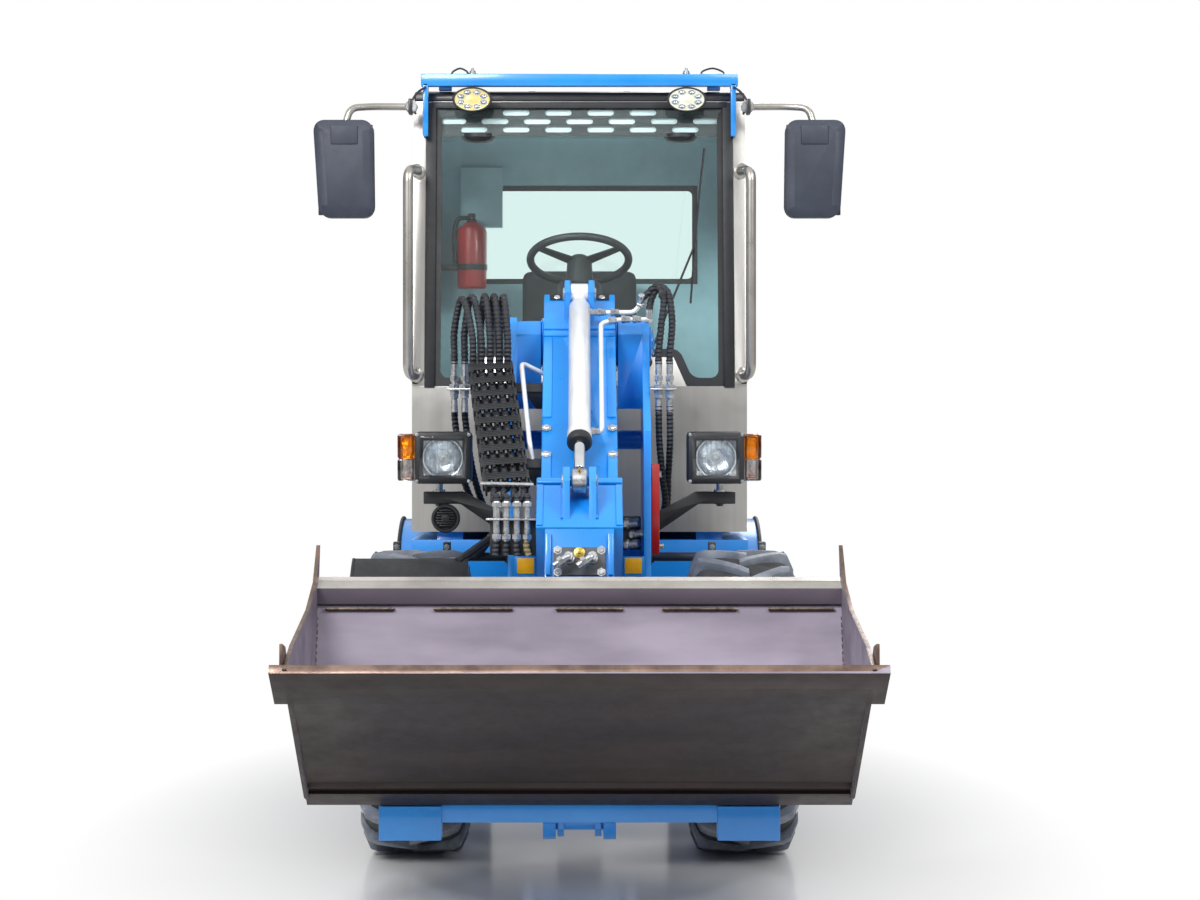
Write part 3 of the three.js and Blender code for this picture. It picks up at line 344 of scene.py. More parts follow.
# %% Floor that keeps the shadow and fades to white
bpy.ops.object.select_all(action="DESELECT")
bpy.ops.mesh.primitive_plane_add(size=60, location=(0, 0, -0.0005))
floor = bpy.context.object
floor.name = "studio_floor"
bpy.ops.object.transform_apply(location=True, rotation=True, scale=True)
ground = bpy.data.materials.new("studio_floor")
ground.use_nodes = True
tree = ground.node_tree
matt = tree.nodes["Principled BSDF"]
matt.inputs["Base Color"].default_value = (0.93, 0.93, 0.93, 1)
matt.inputs["Roughness"].default_value = 0.14
matt.inputs["Specular IOR Level"].default_value = 0.5
matt.inputs["Coat Weight"].default_value = 0.6
matt.inputs["Coat Roughness"].default_value = 0.1
glow = tree.nodes.new("ShaderNodeEmission")
glow.inputs["Color"].default_value = (1, 1, 1, 1)
glow.inputs["Strength"].default_value = 1.0
blend_floor = tree.nodes.new("ShaderNodeMixShader")
where = tree.nodes.new("ShaderNodeTexCoord")
oval = tree.nodes.new("ShaderNodeVectorMath")
oval.operation = "MULTIPLY"
oval.inputs[1].default_value = (1.5, 0.75, 1.0)
ring = tree.nodes.new("ShaderNodeVectorMath")
ring.operation = "LENGTH"
fade = tree.nodes.new("ShaderNodeMapRange")
fade.inputs["From Min"].default_value = 0.9
fade.inputs["From Max"].default_value = 2.2
output = next(n for n in tree.nodes if n.type == "OUTPUT_MATERIAL")
tree.links.new(where.outputs["Object"], oval.inputs[0])
tree.links.new(oval.outputs["Vector"], ring.inputs[0])
tree.links.new(ring.outputs["Value"], fade.inputs["Value"])
tree.links.new(fade.outputs["Result"], blend_floor.inputs["Fac"])
tree.links.new(matt.outputs["BSDF"], blend_floor.inputs[1])
tree.links.new(glow.outputs["Emission"], blend_floor.inputs[2])
tree.links.new(blend_floor.outputs["Shader"], output.inputs["Surface"])
floor.data.materials.append(ground)

world = bpy.data.worlds.new("studio")
bpy.context.scene.world = world
world.use_nodes = True
tree = world.node_tree
sky = tree.nodes["Background"]
sky.inputs["Color"].default_value = (1, 1, 1, 1)
up_way = tree.nodes.new("ShaderNodeTexCoord")
parts = tree.nodes.new("ShaderNodeSeparateXYZ")
height = tree.nodes.new("ShaderNodeMapRange")
height.inputs["From Max"].default_value = 0.9
height.inputs["To Min"].default_value = 0.03
height.inputs["To Max"].default_value = 0.95
tree.links.new(up_way.outputs["Generated"], parts.inputs[0])
tree.links.new(parts.outputs["Z"], height.inputs["Value"])
tree.links.new(height.outputs["Result"], sky.inputs["Strength"])
backdrop = tree.nodes.new("ShaderNodeBackground")
backdrop.inputs["Color"].default_value = (1, 1, 1, 1)
backdrop.inputs["Strength"].default_value = 1.0
mirror_sky = tree.nodes.new("ShaderNodeBackground")
mirror_sky.inputs["Color"].default_value = (1, 1, 1, 1)
rim = tree.nodes.new("ShaderNodeMapRange")
rim.inputs["From Max"].default_value = 0.5
rim.inputs["To Min"].default_value = 0.05
rim.inputs["To Max"].default_value = 1.0
tree.links.new(parts.outputs["Z"], rim.inputs["Value"])
tree.links.new(rim.outputs["Result"], mirror_sky.inputs["Strength"])
rays = tree.nodes.new("ShaderNodeLightPath")
seen = tree.nodes.new("ShaderNodeMath")
seen.operation = "MAXIMUM"
reflected = tree.nodes.new("ShaderNodeMixShader")
choose = tree.nodes.new("ShaderNodeMixShader")
output = next(n for n in tree.nodes if n.type == "OUTPUT_WORLD")
tree.links.new(rays.outputs["Is Camera Ray"], seen.inputs[0])
tree.links.new(rays.outputs["Is Transmission Ray"], seen.inputs[1])
tree.links.new(rays.outputs["Is Glossy Ray"], reflected.inputs["Fac"])
tree.links.new(sky.outputs["Background"], reflected.inputs[1])
tree.links.new(mirror_sky.outputs["Background"], reflected.inputs[2])
tree.links.new(seen.outputs[0], choose.inputs["Fac"])
tree.links.new(reflected.outputs["Shader"], choose.inputs[1])
tree.links.new(backdrop.outputs["Background"], choose.inputs[2])
tree.links.new(choose.outputs["Shader"], output.inputs["Surface"])
print("floor and sky ready")


# %% Lamps
def lamp(name, place, target, size, watts):
    bpy.ops.object.light_add(type="AREA", location=place)
    light = bpy.context.object
    light.name = name
    light.data.shape = "DISK"
    light.data.size = size
    light.data.energy = watts
    light.rotation_euler = (Vector(target) - Vector(place)).to_track_quat("-Z", "Y").to_euler()
    return light


lamp("key_lamp", (-2.6, -4.6, 4.6), (0, 0, 0.8), 2.4, 310)
lamp("fill_lamp", (3.4, -3.8, 4.6), (0, 0, 0.9), 2.6, 150)
lamp("back_lamp", (1.5, 5.0, 4.2), (0, 0, 1.0), 3.0, 100)

# %% Camera straight on to the bucket
bpy.ops.object.camera_add(location=(0.0, -8.124, 1.268), rotation=(math.radians(90), 0, 0))
camera = bpy.context.object
camera.data.sensor_width = 36
camera.data.lens = 82.3
camera.data.shift_x = 0.0171
camera.data.shift_y = -0.0417
bpy.context.scene.camera = camera
bpy.context.scene.view_settings.view_transform = "Standard"
print("camera at", tuple(round(v, 3) for v in camera.location))

# %% [markdown]
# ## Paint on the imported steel
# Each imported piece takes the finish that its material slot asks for. The pieces that are rounded or replaced
# later look up the same table, so a door and its copy can never disagree.

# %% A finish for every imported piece
SLOT_FINISH = {
    "blue_paint": "blue_paint", "bare_steel": "bare_steel", "stainless": "stainless",
    "black_paint": "black_paint", "grey_paint": "rim_paint", "red_paint": "red_paint",
    "mirror_plastic": "mirror_plastic", "black_plastic": "black_plastic", "tyre": "tyre_rubber",
    "hose_rubber": "hose_guard", "zinc": "zinc", "chrome": "chrome", "cylinder_paint": "barrel_paint",
    "seat_cloth": "seat_cloth", "glass": "tinted_glass",
}
FINISH_SLOT = {finish_name: slot for slot, finish_name in SLOT_FINISH.items()}
FINISH_SLOT.update({
    "blue_shade": "blue_paint", "edge_steel": "bare_steel", "weld_bead": "bare_steel",
    "inside_steel": "bare_steel", "rail_steel": "stainless", "tread_rubber": "tyre", "brass": "zinc",
    "yellow_plate": "zinc", "cast_grey": "grey_paint", "cab_lining": "stainless", "tan_hose": "hose_rubber",
    "lens_glass": "glass", "amber_lens": "glass", "clear_lens": "glass", "red_lens": "glass",
    "reflector": "chrome",
    "led_dome": "glass", "amber_dome": "glass",
    "pale_liner": "stainless", "stiffener_steel": "bare_steel",
})
node_slot = {row["node"]: row["material_slot"] for row in frame["record"]["subparts"]}
node_body = {name: body for body, names in frame["record"]["behaviour"]["bodies"].items() for name in names}
for name, node in NODES.items():
    node.data.materials.clear()
    node.data.materials.append(FINISH[SLOT_FINISH[node_slot[name]]])
print("painted", len(NODES))

# %% [markdown]
# ## The few shapes everything is made of
# Folded sheet, turned steel and bent tube cover nearly every piece on a loader. A slab is a bevelled block,
# a plate is an outline pushed out to its thickness, a turned piece grows from one disc by extruding and
# scaling, and a pipe is a swept path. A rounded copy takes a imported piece, joins its loose triangles back into flat
# faces and breaks the edges, which is what makes cut steel look cut rather than drawn.


# %% Closing a piece: place, finish, body
def nothing_selected():
    bpy.ops.object.select_all(action="DESELECT")


def close(name, body, finish_name, smooth=35, stands_for=()):
    piece = bpy.context.object
    piece.name = name
    piece.data.name = name
    bpy.ops.object.transform_apply(location=True, rotation=True, scale=True)
    piece.data.materials.clear()
    piece.data.materials.append(FINISH[finish_name])
    bpy.ops.object.shade_smooth_by_angle(angle=math.radians(smooth))
    if body:
        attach(piece, body)
    if stands_for:
        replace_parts(piece, *stands_for)
    return piece


def break_edges(width, segments=2, sharper_than=32):
    piece = bpy.context.object
    if width <= 0:
        return
    bevel = piece.modifiers.new("broken_edges", "BEVEL")
    bevel.width = width
    bevel.segments = segments
    bevel.limit_method = "ANGLE"
    bevel.angle_limit = math.radians(sharper_than)
    bevel.use_clamp_overlap = True
    bpy.ops.object.modifier_apply(modifier=bevel.name)


# %% Slab, plate and turned piece
def slab(name, low, high, body, finish_name, edge=0.003, **more):
    nothing_selected()
    middle = (low + high) / 2
    size = high - low
    bpy.ops.mesh.primitive_cube_add(size=1, location=middle, scale=[abs(v) for v in size])
    bpy.ops.object.transform_apply(location=True, rotation=True, scale=True)
    break_edges(edge)
    return close(name, body, finish_name, **more)


def plate(name, corners, thickness, body, finish_name, edge=0.0015, **more):
    nothing_selected()
    bpy.ops.mesh.primitive_circle_add(vertices=len(corners), radius=1, fill_type="NGON")
    piece = bpy.context.object
    for vertex, corner in zip(piece.data.vertices, corners):
        vertex.co = corner
    bpy.ops.object.mode_set(mode="EDIT")
    bpy.ops.mesh.select_all(action="SELECT")
    bpy.ops.mesh.extrude_region_move(TRANSFORM_OT_translate={"value": thickness})
    bpy.ops.mesh.select_all(action="SELECT")
    bpy.ops.mesh.normals_make_consistent(inside=False)
    bpy.ops.object.mode_set(mode="OBJECT")
    break_edges(edge)
    return close(name, body, finish_name, **more)


def turned(name, foot, toward, steps, body, finish_name, sides=28, ring=False, **more):
    axis = (toward - foot).normalized()
    tilt = axis.to_track_quat("Z", "Y").to_euler()
    nothing_selected()
    bpy.ops.mesh.primitive_circle_add(
        vertices=sides, radius=steps[0][1], fill_type="NOTHING" if ring else "NGON",
        location=foot + axis * steps[0][0], rotation=tilt,
    )
    bpy.ops.object.transform_apply(location=True, rotation=True, scale=True)
    bpy.ops.object.mode_set(mode="EDIT")
    bpy.ops.mesh.select_all(action="SELECT")
    for (before, wide), (after, radius) in zip(steps, steps[1:]):
        bpy.ops.mesh.extrude_region_move(TRANSFORM_OT_translate={"value": axis * (after - before)})
        if abs(radius - wide) > 1e-7:
            k = radius / wide
            bpy.ops.transform.resize(value=(k, k, k), center_override=foot + axis * after)
    bpy.ops.mesh.select_all(action="SELECT")
    if ring:
        bpy.ops.mesh.remove_doubles(threshold=0.00002)
    bpy.ops.mesh.normals_make_consistent(inside=False)
    bpy.ops.object.mode_set(mode="OBJECT")
    return close(name, body, finish_name, **more)


# %% Paths for tubes and hoses
def rounded_path(points, bend, steps=6):
    path = [points[0]]
    for before, corner, after in zip(points, points[1:], points[2:]):
        back = (before - corner)
        on = (after - corner)
        cut = min(bend, back.length * 0.48, on.length * 0.48)
        start = corner + back.normalized() * cut
        end = corner + on.normalized() * cut
        for i in range(steps + 1):
            t = i / steps
            path.append((1 - t) ** 2 * start + 2 * t * (1 - t) * corner + t ** 2 * end)
    path.append(points[-1])
    return path


def hanging_path(points, spacing=0.006):
    dense = []
    ends = [2 * points[0] - points[1]] + list(points) + [2 * points[-1] - points[-2]]
    for a, b, c, d in zip(ends, ends[1:], ends[2:], ends[3:]):
        count = max(2, int((c - b).length / spacing))
        for i in range(count):
            t = i / count
            dense.append(
                0.5 * (2 * b + (c - a) * t + (2 * a - 5 * b + 4 * c - d) * t ** 2
                       + (3 * b - a - 3 * c + d) * t ** 3)
            )
    dense.append(points[-1])
    return dense


def pipe(name, path, radius, body, finish_name, rings=0.0, sides=4, **more):
    curve = bpy.data.curves.new(name, "CURVE")
    curve.dimensions = "3D"
    curve.bevel_depth = radius
    curve.bevel_resolution = sides
    curve.use_fill_caps = True
    spline = curve.splines.new("POLY")
    spline.points.add(len(path) - 1)
    for i, (point, place) in enumerate(zip(spline.points, path)):
        point.co = (*place, 1)
        point.radius = 1 - rings * (i % 2)
    piece = bpy.data.objects.new(name, curve)
    bpy.context.scene.collection.objects.link(piece)
    nothing_selected()
    piece.select_set(True)
    bpy.context.view_layer.objects.active = piece
    bpy.ops.object.convert(target="MESH")
    bpy.ops.object.mode_set(mode="EDIT")
    bpy.ops.mesh.select_all(action="SELECT")
    bpy.ops.mesh.remove_doubles(threshold=0.00001)
    bpy.ops.mesh.normals_make_consistent(inside=False)
    bpy.ops.object.mode_set(mode="OBJECT")
    return close(name, body, finish_name, smooth=more.pop("smooth", 50), **more)


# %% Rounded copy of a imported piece
def flat_faced_copy(node):
    nothing_selected()
    source = NODES[node]
    copy = source.copy()
    copy.data = source.data.copy()
    bpy.context.scene.collection.objects.link(copy)
    copy.parent = None
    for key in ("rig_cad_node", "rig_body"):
        if key in copy:
            del copy[key]
    copy.select_set(True)
    bpy.context.view_layer.objects.active = copy
    bpy.ops.object.mode_set(mode="EDIT")
    bpy.ops.mesh.select_all(action="SELECT")
    bpy.ops.mesh.remove_doubles(threshold=0.00002)
    bpy.ops.mesh.dissolve_limited(angle_limit=math.radians(1.0))
    bpy.ops.mesh.select_all(action="DESELECT")
    bpy.ops.object.mode_set(mode="OBJECT")
    return copy


def rounded(node, width=0.002, finish_name=None, segments=2, sharper_than=32, smooth=35, suffix="_finished"):
    flat_faced_copy(node)
    break_edges(width, segments, sharper_than)
    finish_name = finish_name or SLOT_FINISH[node_slot[node]]
    return close(node + suffix, node_body[node], finish_name, smooth, (node,))


def refinish(piece, finish_name, wanted):
    piece.data.materials.append(FINISH[finish_name])
    index = len(piece.data.materials) - 1
    count = 0
    for face in piece.data.polygons:
        if wanted(face.center, face.normal):
            face.material_index = index
            count += 1
    return count


def copies(piece, places, body, label):
    made = []
    for i, matrix in enumerate(places):
        twin = piece.copy()
        twin.data = piece.data.copy()
        twin.data.transform(matrix)
        twin.name = f"{label}_{i + 1}"
        bpy.context.scene.collection.objects.link(twin)
        if matrix.determinant() < 0:
            twin.data.flip_normals()
        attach(twin, body)
        made.append(twin)
    return made


def joined(pieces, name):
    nothing_selected()
    for piece in pieces:
        piece.select_set(True)
    bpy.context.view_layer.objects.active = pieces[0]
    bpy.ops.object.join()
    pieces[0].name = name
    pieces[0].data.name = name
    return pieces[0]


MIRROR = Matrix.Scale(-1, 4, (1, 0, 0))
print("helpers ready")

# %% [markdown]
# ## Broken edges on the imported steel
# Sheet and plate are rounded by about their own bend radius: two millimetres on cut plate, four on the boom
# tubes and more on moulded plastic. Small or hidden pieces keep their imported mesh.

# %% Rounded steel
EDGES = {
    "rear_chassis": 0.003, "rear_body": 0.002, "left_tank": 0.006, "right_battery_box": 0.006,
    "counterweight": 0.008, "engine_hood": 0.012, "front_chassis": 0.0025, "outer_boom": 0.004,
    "inner_boom": 0.004, "tool_carrier": 0.003,
    "red_boom_prop": 0.002, "front_axle": 0.004, "rear_axle": 0.004, "engine_block": 0.005,
    "lift_barrel": 0.002, "lift_rod": 0.002, "tilt_barrel": 0.002, "tilt_rod": 0.002,
    "steering_barrel": 0.002, "steering_rod": 0.0015,
}
for name, width in EDGES.items():
    sharper = 40 if "barrel" in name or "rod" in name or "axle" in name else 32
    rounded(name, width, sharper_than=sharper)
print("rounded", len(EDGES))

# %% [markdown]
# ## The bucket
# The bucket is welded from rolled plate with the mill skin still on: brown-grey and streaky outside, a lighter,
# cooler grey on the inner faces, and almost bright on the cutting edge. The stiffener across the back takes a
# darker steel as painted shade, with a pale top as a painted highlight. The imported shell is rounded, its inner
# faces are picked by the way they face, and the welds are laid on as beads.

# %% Shell with its inner faces and bright edges
LIP = (-2310, 643)
BUCKET_HALF = 674
bucket = rounded("bucket", 0.0018)
floor_way = Vector((0, 0.55, 0.83))
back_way = Vector((0, -0.918, 0.397))


def inside_bucket(centre, normal):
    if abs(centre.x) > (BUCKET_HALF + 3) / 1000 - 0.009:
        return False
    if abs(normal.x) > 0.9:
        return (centre.x > 0) == (normal.x < 0)
    return normal.dot(floor_way) > 0.9 or normal.dot(back_way) > 0.9


print("inner faces", refinish(bucket, "inside_steel", inside_bucket))
stiffener = here(0, -1560, 775)
# The stiffener's faces take a darker steel than the inner faces: painted shade.
print("stiffener faces", refinish(
    bucket, "stiffener_steel", lambda c, n: abs(c.x) < 0.6 and (c - stiffener).yz.length < 0.06 and n.y < 0.3,
))
# Its upward faces take the pale rail steel: a painted highlight.
print("stiffener top", refinish(
    bucket, "rail_steel",
    lambda c, n: abs(c.x) < 0.66 and (c - stiffener).yz.length < 0.06 and n.z > 0.35 and n.y < 0.3,
))
lip_top = here(0, LIP[0], LIP[1] + 22)
print("lip faces", refinish(
    bucket, "edge_steel",
    lambda c, n: abs(c.z - lip_top.z) < 0.012 and abs(c.y - lip_top.y) < 0.03 and n.z > 0.2 and abs(n.x) < 0.5,
))
print("side edges", refinish(
    bucket, "edge_steel", lambda c, n: abs(c.x) > BUCKET_HALF / 1000 - 0.009 and abs(n.x) < 0.5 and n.z > 0.3,
))

# %% [markdown]
# A weld bead is a row of overlapping ripples. One bead is a tube whose width swells and shrinks every few
# millimetres and wanders a little, so it reads as laid by hand.


# %% Weld beads
def bead(name, start, end, width, body, finish_name="weld_bead", wander=0.0006):
    length = (end - start).length
    count = max(4, int(length / 0.005))
    side = (end - start).normalized().cross(Vector((0.3, 0.5, 0.8))).normalized()
    path = [start.lerp(end, i / count) + side * wander * math.sin(i * 1.7) for i in range(count + 1)]
    return pipe(name, path, width, body, finish_name, rings=0.16, sides=1)


welds = []
for label, a, b in [
    ("left", -645, -470), ("mid_left", -370, -170), ("middle", -60, 110), ("mid_right", 210, 400),
    ("right", 480, 645),
]:
    low = here(a, -1583, 737)
    high = here(b, -1583, 737)
    welds.append(bead(f"stiffener_weld_{label}", low, high, 0.005, "bucket_body"))
for side in (-1, 1):
    x = side * (BUCKET_HALF - 9)
    seam = [here(x, -2290, 641), here(x, -1770, 309), here(x, -1747, 345), here(x, -1580, 720)]
    for i, (a, b) in enumerate(zip(seam, seam[1:])):
        welds.append(bead(f"side_weld_{'right' if side < 0 else 'left'}_{i}", a, b, 0.004, "bucket_body"))
    outer = side * (BUCKET_HALF + 2)
    welds.append(bead(
        f"lip_bar_weld_{'right' if side < 0 else 'left'}", here(outer, -2196, 596), here(outer, -2270, 650),
        0.004, "bucket_body",
    ))
joined(welds, "bucket_welds")
print("weld beads", len(welds))

# %% Corner plates and the strip under the heel
for side, word in ((-1, "right"), (1, "left")):
    x = side * (BUCKET_HALF + 3)
    plate(
        f"corner_plate_{word}",
        [here(x, -2292, 712), here(x, -2230, 700), here(x, -2170, 640), here(x, -2296, 655)],
        Vector((side * 0.008, 0, 0)), "bucket_body", "edge_steel",
    )
slab("heel_wear_strip", here(-668, -1838, 318), here(668, -1829, 352), "bucket_body", "bare_steel", 0.002)
print("corner plates and heel strip")

# %% [markdown]
# ## The cab
# The cab is brushed stainless sheet folded round a frame, with a lining inside whose grey-green is lifted to a
# pale teal as painted light and painted sky reflection, a black bonded windscreen, a black roof under a blue lamp
# bar, and a slotted sun panel behind the top of the glass. The frame keeps its imported shape, apart from the grab
# rails, which come off its copy and are laid on again as smooth tubes.

# %% Frame, roof and doors
cab = rounded("cab_frame", 0.003)
# The inner faces take the lining, whose pale teal is painted light and painted sky reflection.
print("lining faces", refinish(
    cab, "cab_lining",
    lambda c, n: abs(c.x) < 0.4725 and here(0, -88 + max(0, c.z - 1.308) * 129, 0).y < c.y < here(0, 772, 0).y
    and 0.868 < c.z < 2.197,
))
nothing_selected()
cab.select_set(True)
bpy.context.view_layer.objects.active = cab
bpy.ops.object.mode_set(mode="EDIT")
bpy.ops.mesh.select_mode(type="FACE")
bpy.ops.mesh.select_all(action="DESELECT")
bpy.ops.object.mode_set(mode="OBJECT")
for face in cab.data.polygons:
    c = face.center
    before_screen = c.y < here(0, -112 + max(0, c.z - 1.308) * 129, 0).y
    face.select = abs(c.x) > 0.49 and 1.31 < c.z < 2.02 and before_screen
print("rail faces lifted off the frame", sum(f.select for f in cab.data.polygons))
bpy.ops.object.mode_set(mode="EDIT")
bpy.ops.mesh.delete(type="FACE")
bpy.ops.object.mode_set(mode="OBJECT")
for side, word in ((1, "left"), (-1, "right")):
    door = rounded(f"{word}_door", 0.002)
    y0, y1 = here(0, 45, 0).y, here(0, 495, 0).y
    print(word, "door panes", refinish(
        door, "tinted_glass",
        lambda c, n: abs(n.x) > 0.95 and 0.4885 < abs(c.x) < 0.4975 and y0 < c.y < y1 and 1.175 < c.z < 2.075,
    ))


# %% [markdown]
# Bonded glass has a black band fired on round its edge, with rounded inner corners. The pane is one sheet:
# its faces are inset to make the band, and the corners of the inner outline are bevelled.

# %% Banded panes
def banded_pane(node, band, corner):
    pane = flat_faced_copy(node)
    for face in pane.data.polygons:
        face.select = abs(face.normal.y) > 0.8 and face.area > 0.2
    bpy.ops.object.mode_set(mode="EDIT")
    bpy.ops.mesh.inset(thickness=band, depth=0)
    bpy.ops.object.mode_set(mode="OBJECT")
    inner = [f.index for f in pane.data.polygons if f.select]
    for part in (*pane.data.polygons, *pane.data.edges, *pane.data.vertices):
        part.select = False
    for index in inner:
        for v in pane.data.polygons[index].vertices:
            pane.data.vertices[v].select = True
    bpy.ops.object.mode_set(mode="EDIT")
    bpy.ops.mesh.select_mode(type="VERT")
    bpy.ops.mesh.bevel(offset=corner, segments=5, affect="VERTICES", clamp_overlap=True)
    bpy.ops.mesh.select_mode(type="EDGE")
    bpy.ops.object.mode_set(mode="OBJECT")
    piece = close(node + "_finished", node_body[node], "black_plastic", 30, (node,))
    piece.data.materials.append(FINISH["tinted_glass"])
    widest = max(f.area for f in piece.data.polygons)
    for face in piece.data.polygons:
        if face.area > widest * 0.5 or face.center.z > 2.08:
            face.material_index = 1
    return piece


windscreen = banded_pane("windscreen", 0.026, 0.024)
rear_pane = banded_pane("rear_window", 0.018, 0.016)
print("panes", len(windscreen.data.polygons), len(rear_pane.data.polygons))

# %% [markdown]
# The seals, the rubber feet under the cab and the floor mat are the soft black lines that make sheet metal
# look assembled.

# %% Cab feet, gutters and grab rails
for side, word in ((-1, "right"), (1, "left")):
    x0, x1 = sorted((side * 362, side * 438))
    slab(f"front_cab_foot_{word}", here(x0, -68, 838), here(x1, 8, 861), "rear_frame", "black_plastic", 0.004)
    x0, x1 = sorted((side * 202, side * 278))
    slab(
        f"rear_cab_foot_{word}", here(x0, 662, 838), here(x1, 738, 861), "rear_frame", "black_plastic", 0.004
    )
slab("cab_floor_strip", here(-514, -96, 862.5), here(514, -92, 880), "rear_frame", "black_plastic", 0.001)
slab("floor_mat", here(-330, 120, 908), here(330, 290, 914), "rear_frame", "black_plastic", 0.003)
print("feet, strip and mat")

# %% [markdown]
# ## Mirrors
# Each mirror is a moulded shell with softly pulled-in sides, a square pad for its clamp and a glass on the
# face the driver sees. It starts as a block, has its long edges bevelled round, and its edge loops are scaled in.


# %% One mirror, then its twin
def mirror_shell():
    nothing_selected()
    low, high = here(628, -138, 1828), here(814, -77, 2129)
    middle = (low + high) / 2
    bpy.ops.mesh.primitive_cube_add(size=1, location=middle, scale=high - low)
    bpy.ops.object.transform_apply(location=True, rotation=True, scale=True)
    shell = bpy.context.object
    bpy.ops.object.mode_set(mode="EDIT")
    bpy.ops.mesh.select_all(action="DESELECT")
    bpy.ops.object.mode_set(mode="OBJECT")
    for edge in shell.data.edges:
        a, b = (shell.data.vertices[v].co for v in edge.vertices)
        edge.select = abs(a.y - b.y) > 0.03
    bpy.ops.object.mode_set(mode="EDIT")
    bpy.ops.mesh.bevel(offset=0.036, segments=6)
    bpy.ops.mesh.select_all(action="DESELECT")
    bpy.ops.object.mode_set(mode="OBJECT")
    for face in shell.data.polygons:
        face.select = face.normal.y < -0.9
    bpy.ops.object.mode_set(mode="EDIT")
    bpy.ops.mesh.inset(thickness=0.012)
    bpy.ops.transform.translate(value=(0, -0.001, 0))
    bpy.ops.mesh.inset(thickness=0.02)
    bpy.ops.object.mode_set(mode="OBJECT")
    for vertex in shell.data.vertices:
        up = (vertex.co.z - middle.z) / 0.15
        vertex.co.x = middle.x + (vertex.co.x - middle.x) * (0.955 + 0.045 * up) + 0.006 * up
    edge_front = min(v.co.y for v in shell.data.vertices)
    for vertex in shell.data.vertices:
        if vertex.co.y < middle.y:
            ring = max(abs(vertex.co.x - middle.x) / 0.093, abs(vertex.co.z - middle.z) / 0.15)
            vertex.co.y = edge_front + 0.018 * max(0, ring - 0.72) / 0.28
    break_edges(0.007, 3, 25)
    return close("left_mirror_shell", "rear_frame", "mirror_plastic", 60)


left_mirror = mirror_shell()
pad = slab(
    "left_mirror_pad", here(680, -140, 2052), here(764, -130, 2112), "rear_frame", "mirror_plastic", 0.005
)
glass = slab(
    "left_mirror_glass", here(644, -78, 1844), here(800, -75.5, 2112), "rear_frame", "chrome", 0.001
)
frame_lip = slab(
    "left_mirror_rim", here(638, -84, 1838), here(806, -77.5, 2118), "rear_frame", "black_plastic", 0.003
)
arm = pipe(
    "left_mirror_arm",
    rounded_path(
        [here(520, -70, 2174), here(640, -78, 2174), here(706, -96, 2168), here(720, -104, 2118)], 0.035
    ),
    0.011, "rear_frame", "rail_steel",
)
clamp = turned(
    "left_mirror_clamp", here(519, -86, 2174), here(519, 0, 2174),
    [(0, 0.016), (0.004, 0.020), (0.026, 0.020), (0.030, 0.016)], "rear_frame", "zinc",
)
knuckle = slab(
    "left_mirror_knuckle", here(515.5, -92, 2150), here(528, -46, 2198), "rear_frame", "black_paint", 0.003
)
for piece in (left_mirror, pad, glass, frame_lip, arm, clamp, knuckle):
    copies(piece, [MIRROR], "rear_frame", piece.name.replace("left_", "right_"))
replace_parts(left_mirror, "left_mirror", "right_mirror")
print("mirrors", len(left_mirror.data.polygons))

# %% [markdown]
# ## Lights
# A work lamp is a square black case with a bright stepped bowl behind a clear lens, and a two-tone indicator
# on its outer end. The bowl is turned: extruding inward and scaling gives its steps.


# %% Headlamp and indicator
def bolt_head(name, place, way, size, body, finish_name="zinc", tall=0.6):
    foot = place - way.normalized() * 0.001
    return turned(
        name, foot, place + way, [(0, size * 1.5), (0.002, size * 1.5), (0.002, size), (size * tall, size),
                                  (size * tall + 0.0012, size * 0.8)],
        body, finish_name, sides=6, smooth=20,
    )


TOWARD_BUCKET = Vector((0, -1, 0))
case = slab(
    "left_headlamp_case", here(309, -719, 1028), here(472, -601, 1177), "front_frame", "black_plastic", 0.012
)
nothing_selected()
case.select_set(True)
bpy.context.view_layer.objects.active = case
bpy.ops.object.mode_set(mode="EDIT")
bpy.ops.mesh.select_all(action="DESELECT")
bpy.ops.object.mode_set(mode="OBJECT")
for polygon in case.data.polygons:
    polygon.select = polygon.normal.y < -0.99 and polygon.area > 0.01
bpy.ops.object.mode_set(mode="EDIT")
bpy.ops.mesh.inset(thickness=0.013)
bpy.ops.mesh.extrude_region_move(TRANSFORM_OT_translate={"value": (0, 0.045, 0)})
bpy.ops.object.mode_set(mode="OBJECT")
bowl_middle = here(390.5, -717, 1102.5)
bowl = turned(
    "left_headlamp_bowl", bowl_middle + Vector((0, 0.0365, 0)), bowl_middle,
    [
        (0, 0.0565), (0.0325, 0.0575), (0.0325, 0.054), (0.020, 0.048), (0.008, 0.034), (0.003, 0.016),
        (0.002, 0.010)
    ],
    "front_frame", "reflector", sides=48, smooth=60,
)
bulb = turned(
    "left_headlamp_bulb", bowl_middle + Vector((0, 0.033, 0)), bowl_middle,
    [(0, 0.012), (0.014, 0.012), (0.018, 0.0095), (0.0185, 0.004), (0.030, 0.004), (0.032, 0.002)],
    "front_frame", "zinc", sides=24,
)
lens = slab(
    "left_headlamp_lens", here(323, -719.5, 1042), here(458, -715, 1163), "front_frame", "lens_glass", 0.0015
)
surround = slab(
    "left_headlamp_well", here(323, -684, 1042), here(458, -676, 1163), "front_frame", "zinc", 0.001
)
fins = []
for i in range(9):
    x = 330 + i * 15
    fins.append(slab(
        f"left_headlamp_flute_{i}", here(x, -714.5, 1044), here(x + 4, -712.5, 1161), "front_frame",
        "lens_glass", 0.0008
    ))
flutes = joined(fins, "left_headlamp_flutes")
corner_bolts = joined([
    bolt_head(f"left_headlamp_bolt_{i}", here(x, -719, z), TOWARD_BUCKET, 0.0035, "front_frame", "zinc")
    for i, (x, z) in enumerate([(316, 1036), (465, 1036), (316, 1169), (465, 1169)])
], "left_headlamp_bolts")
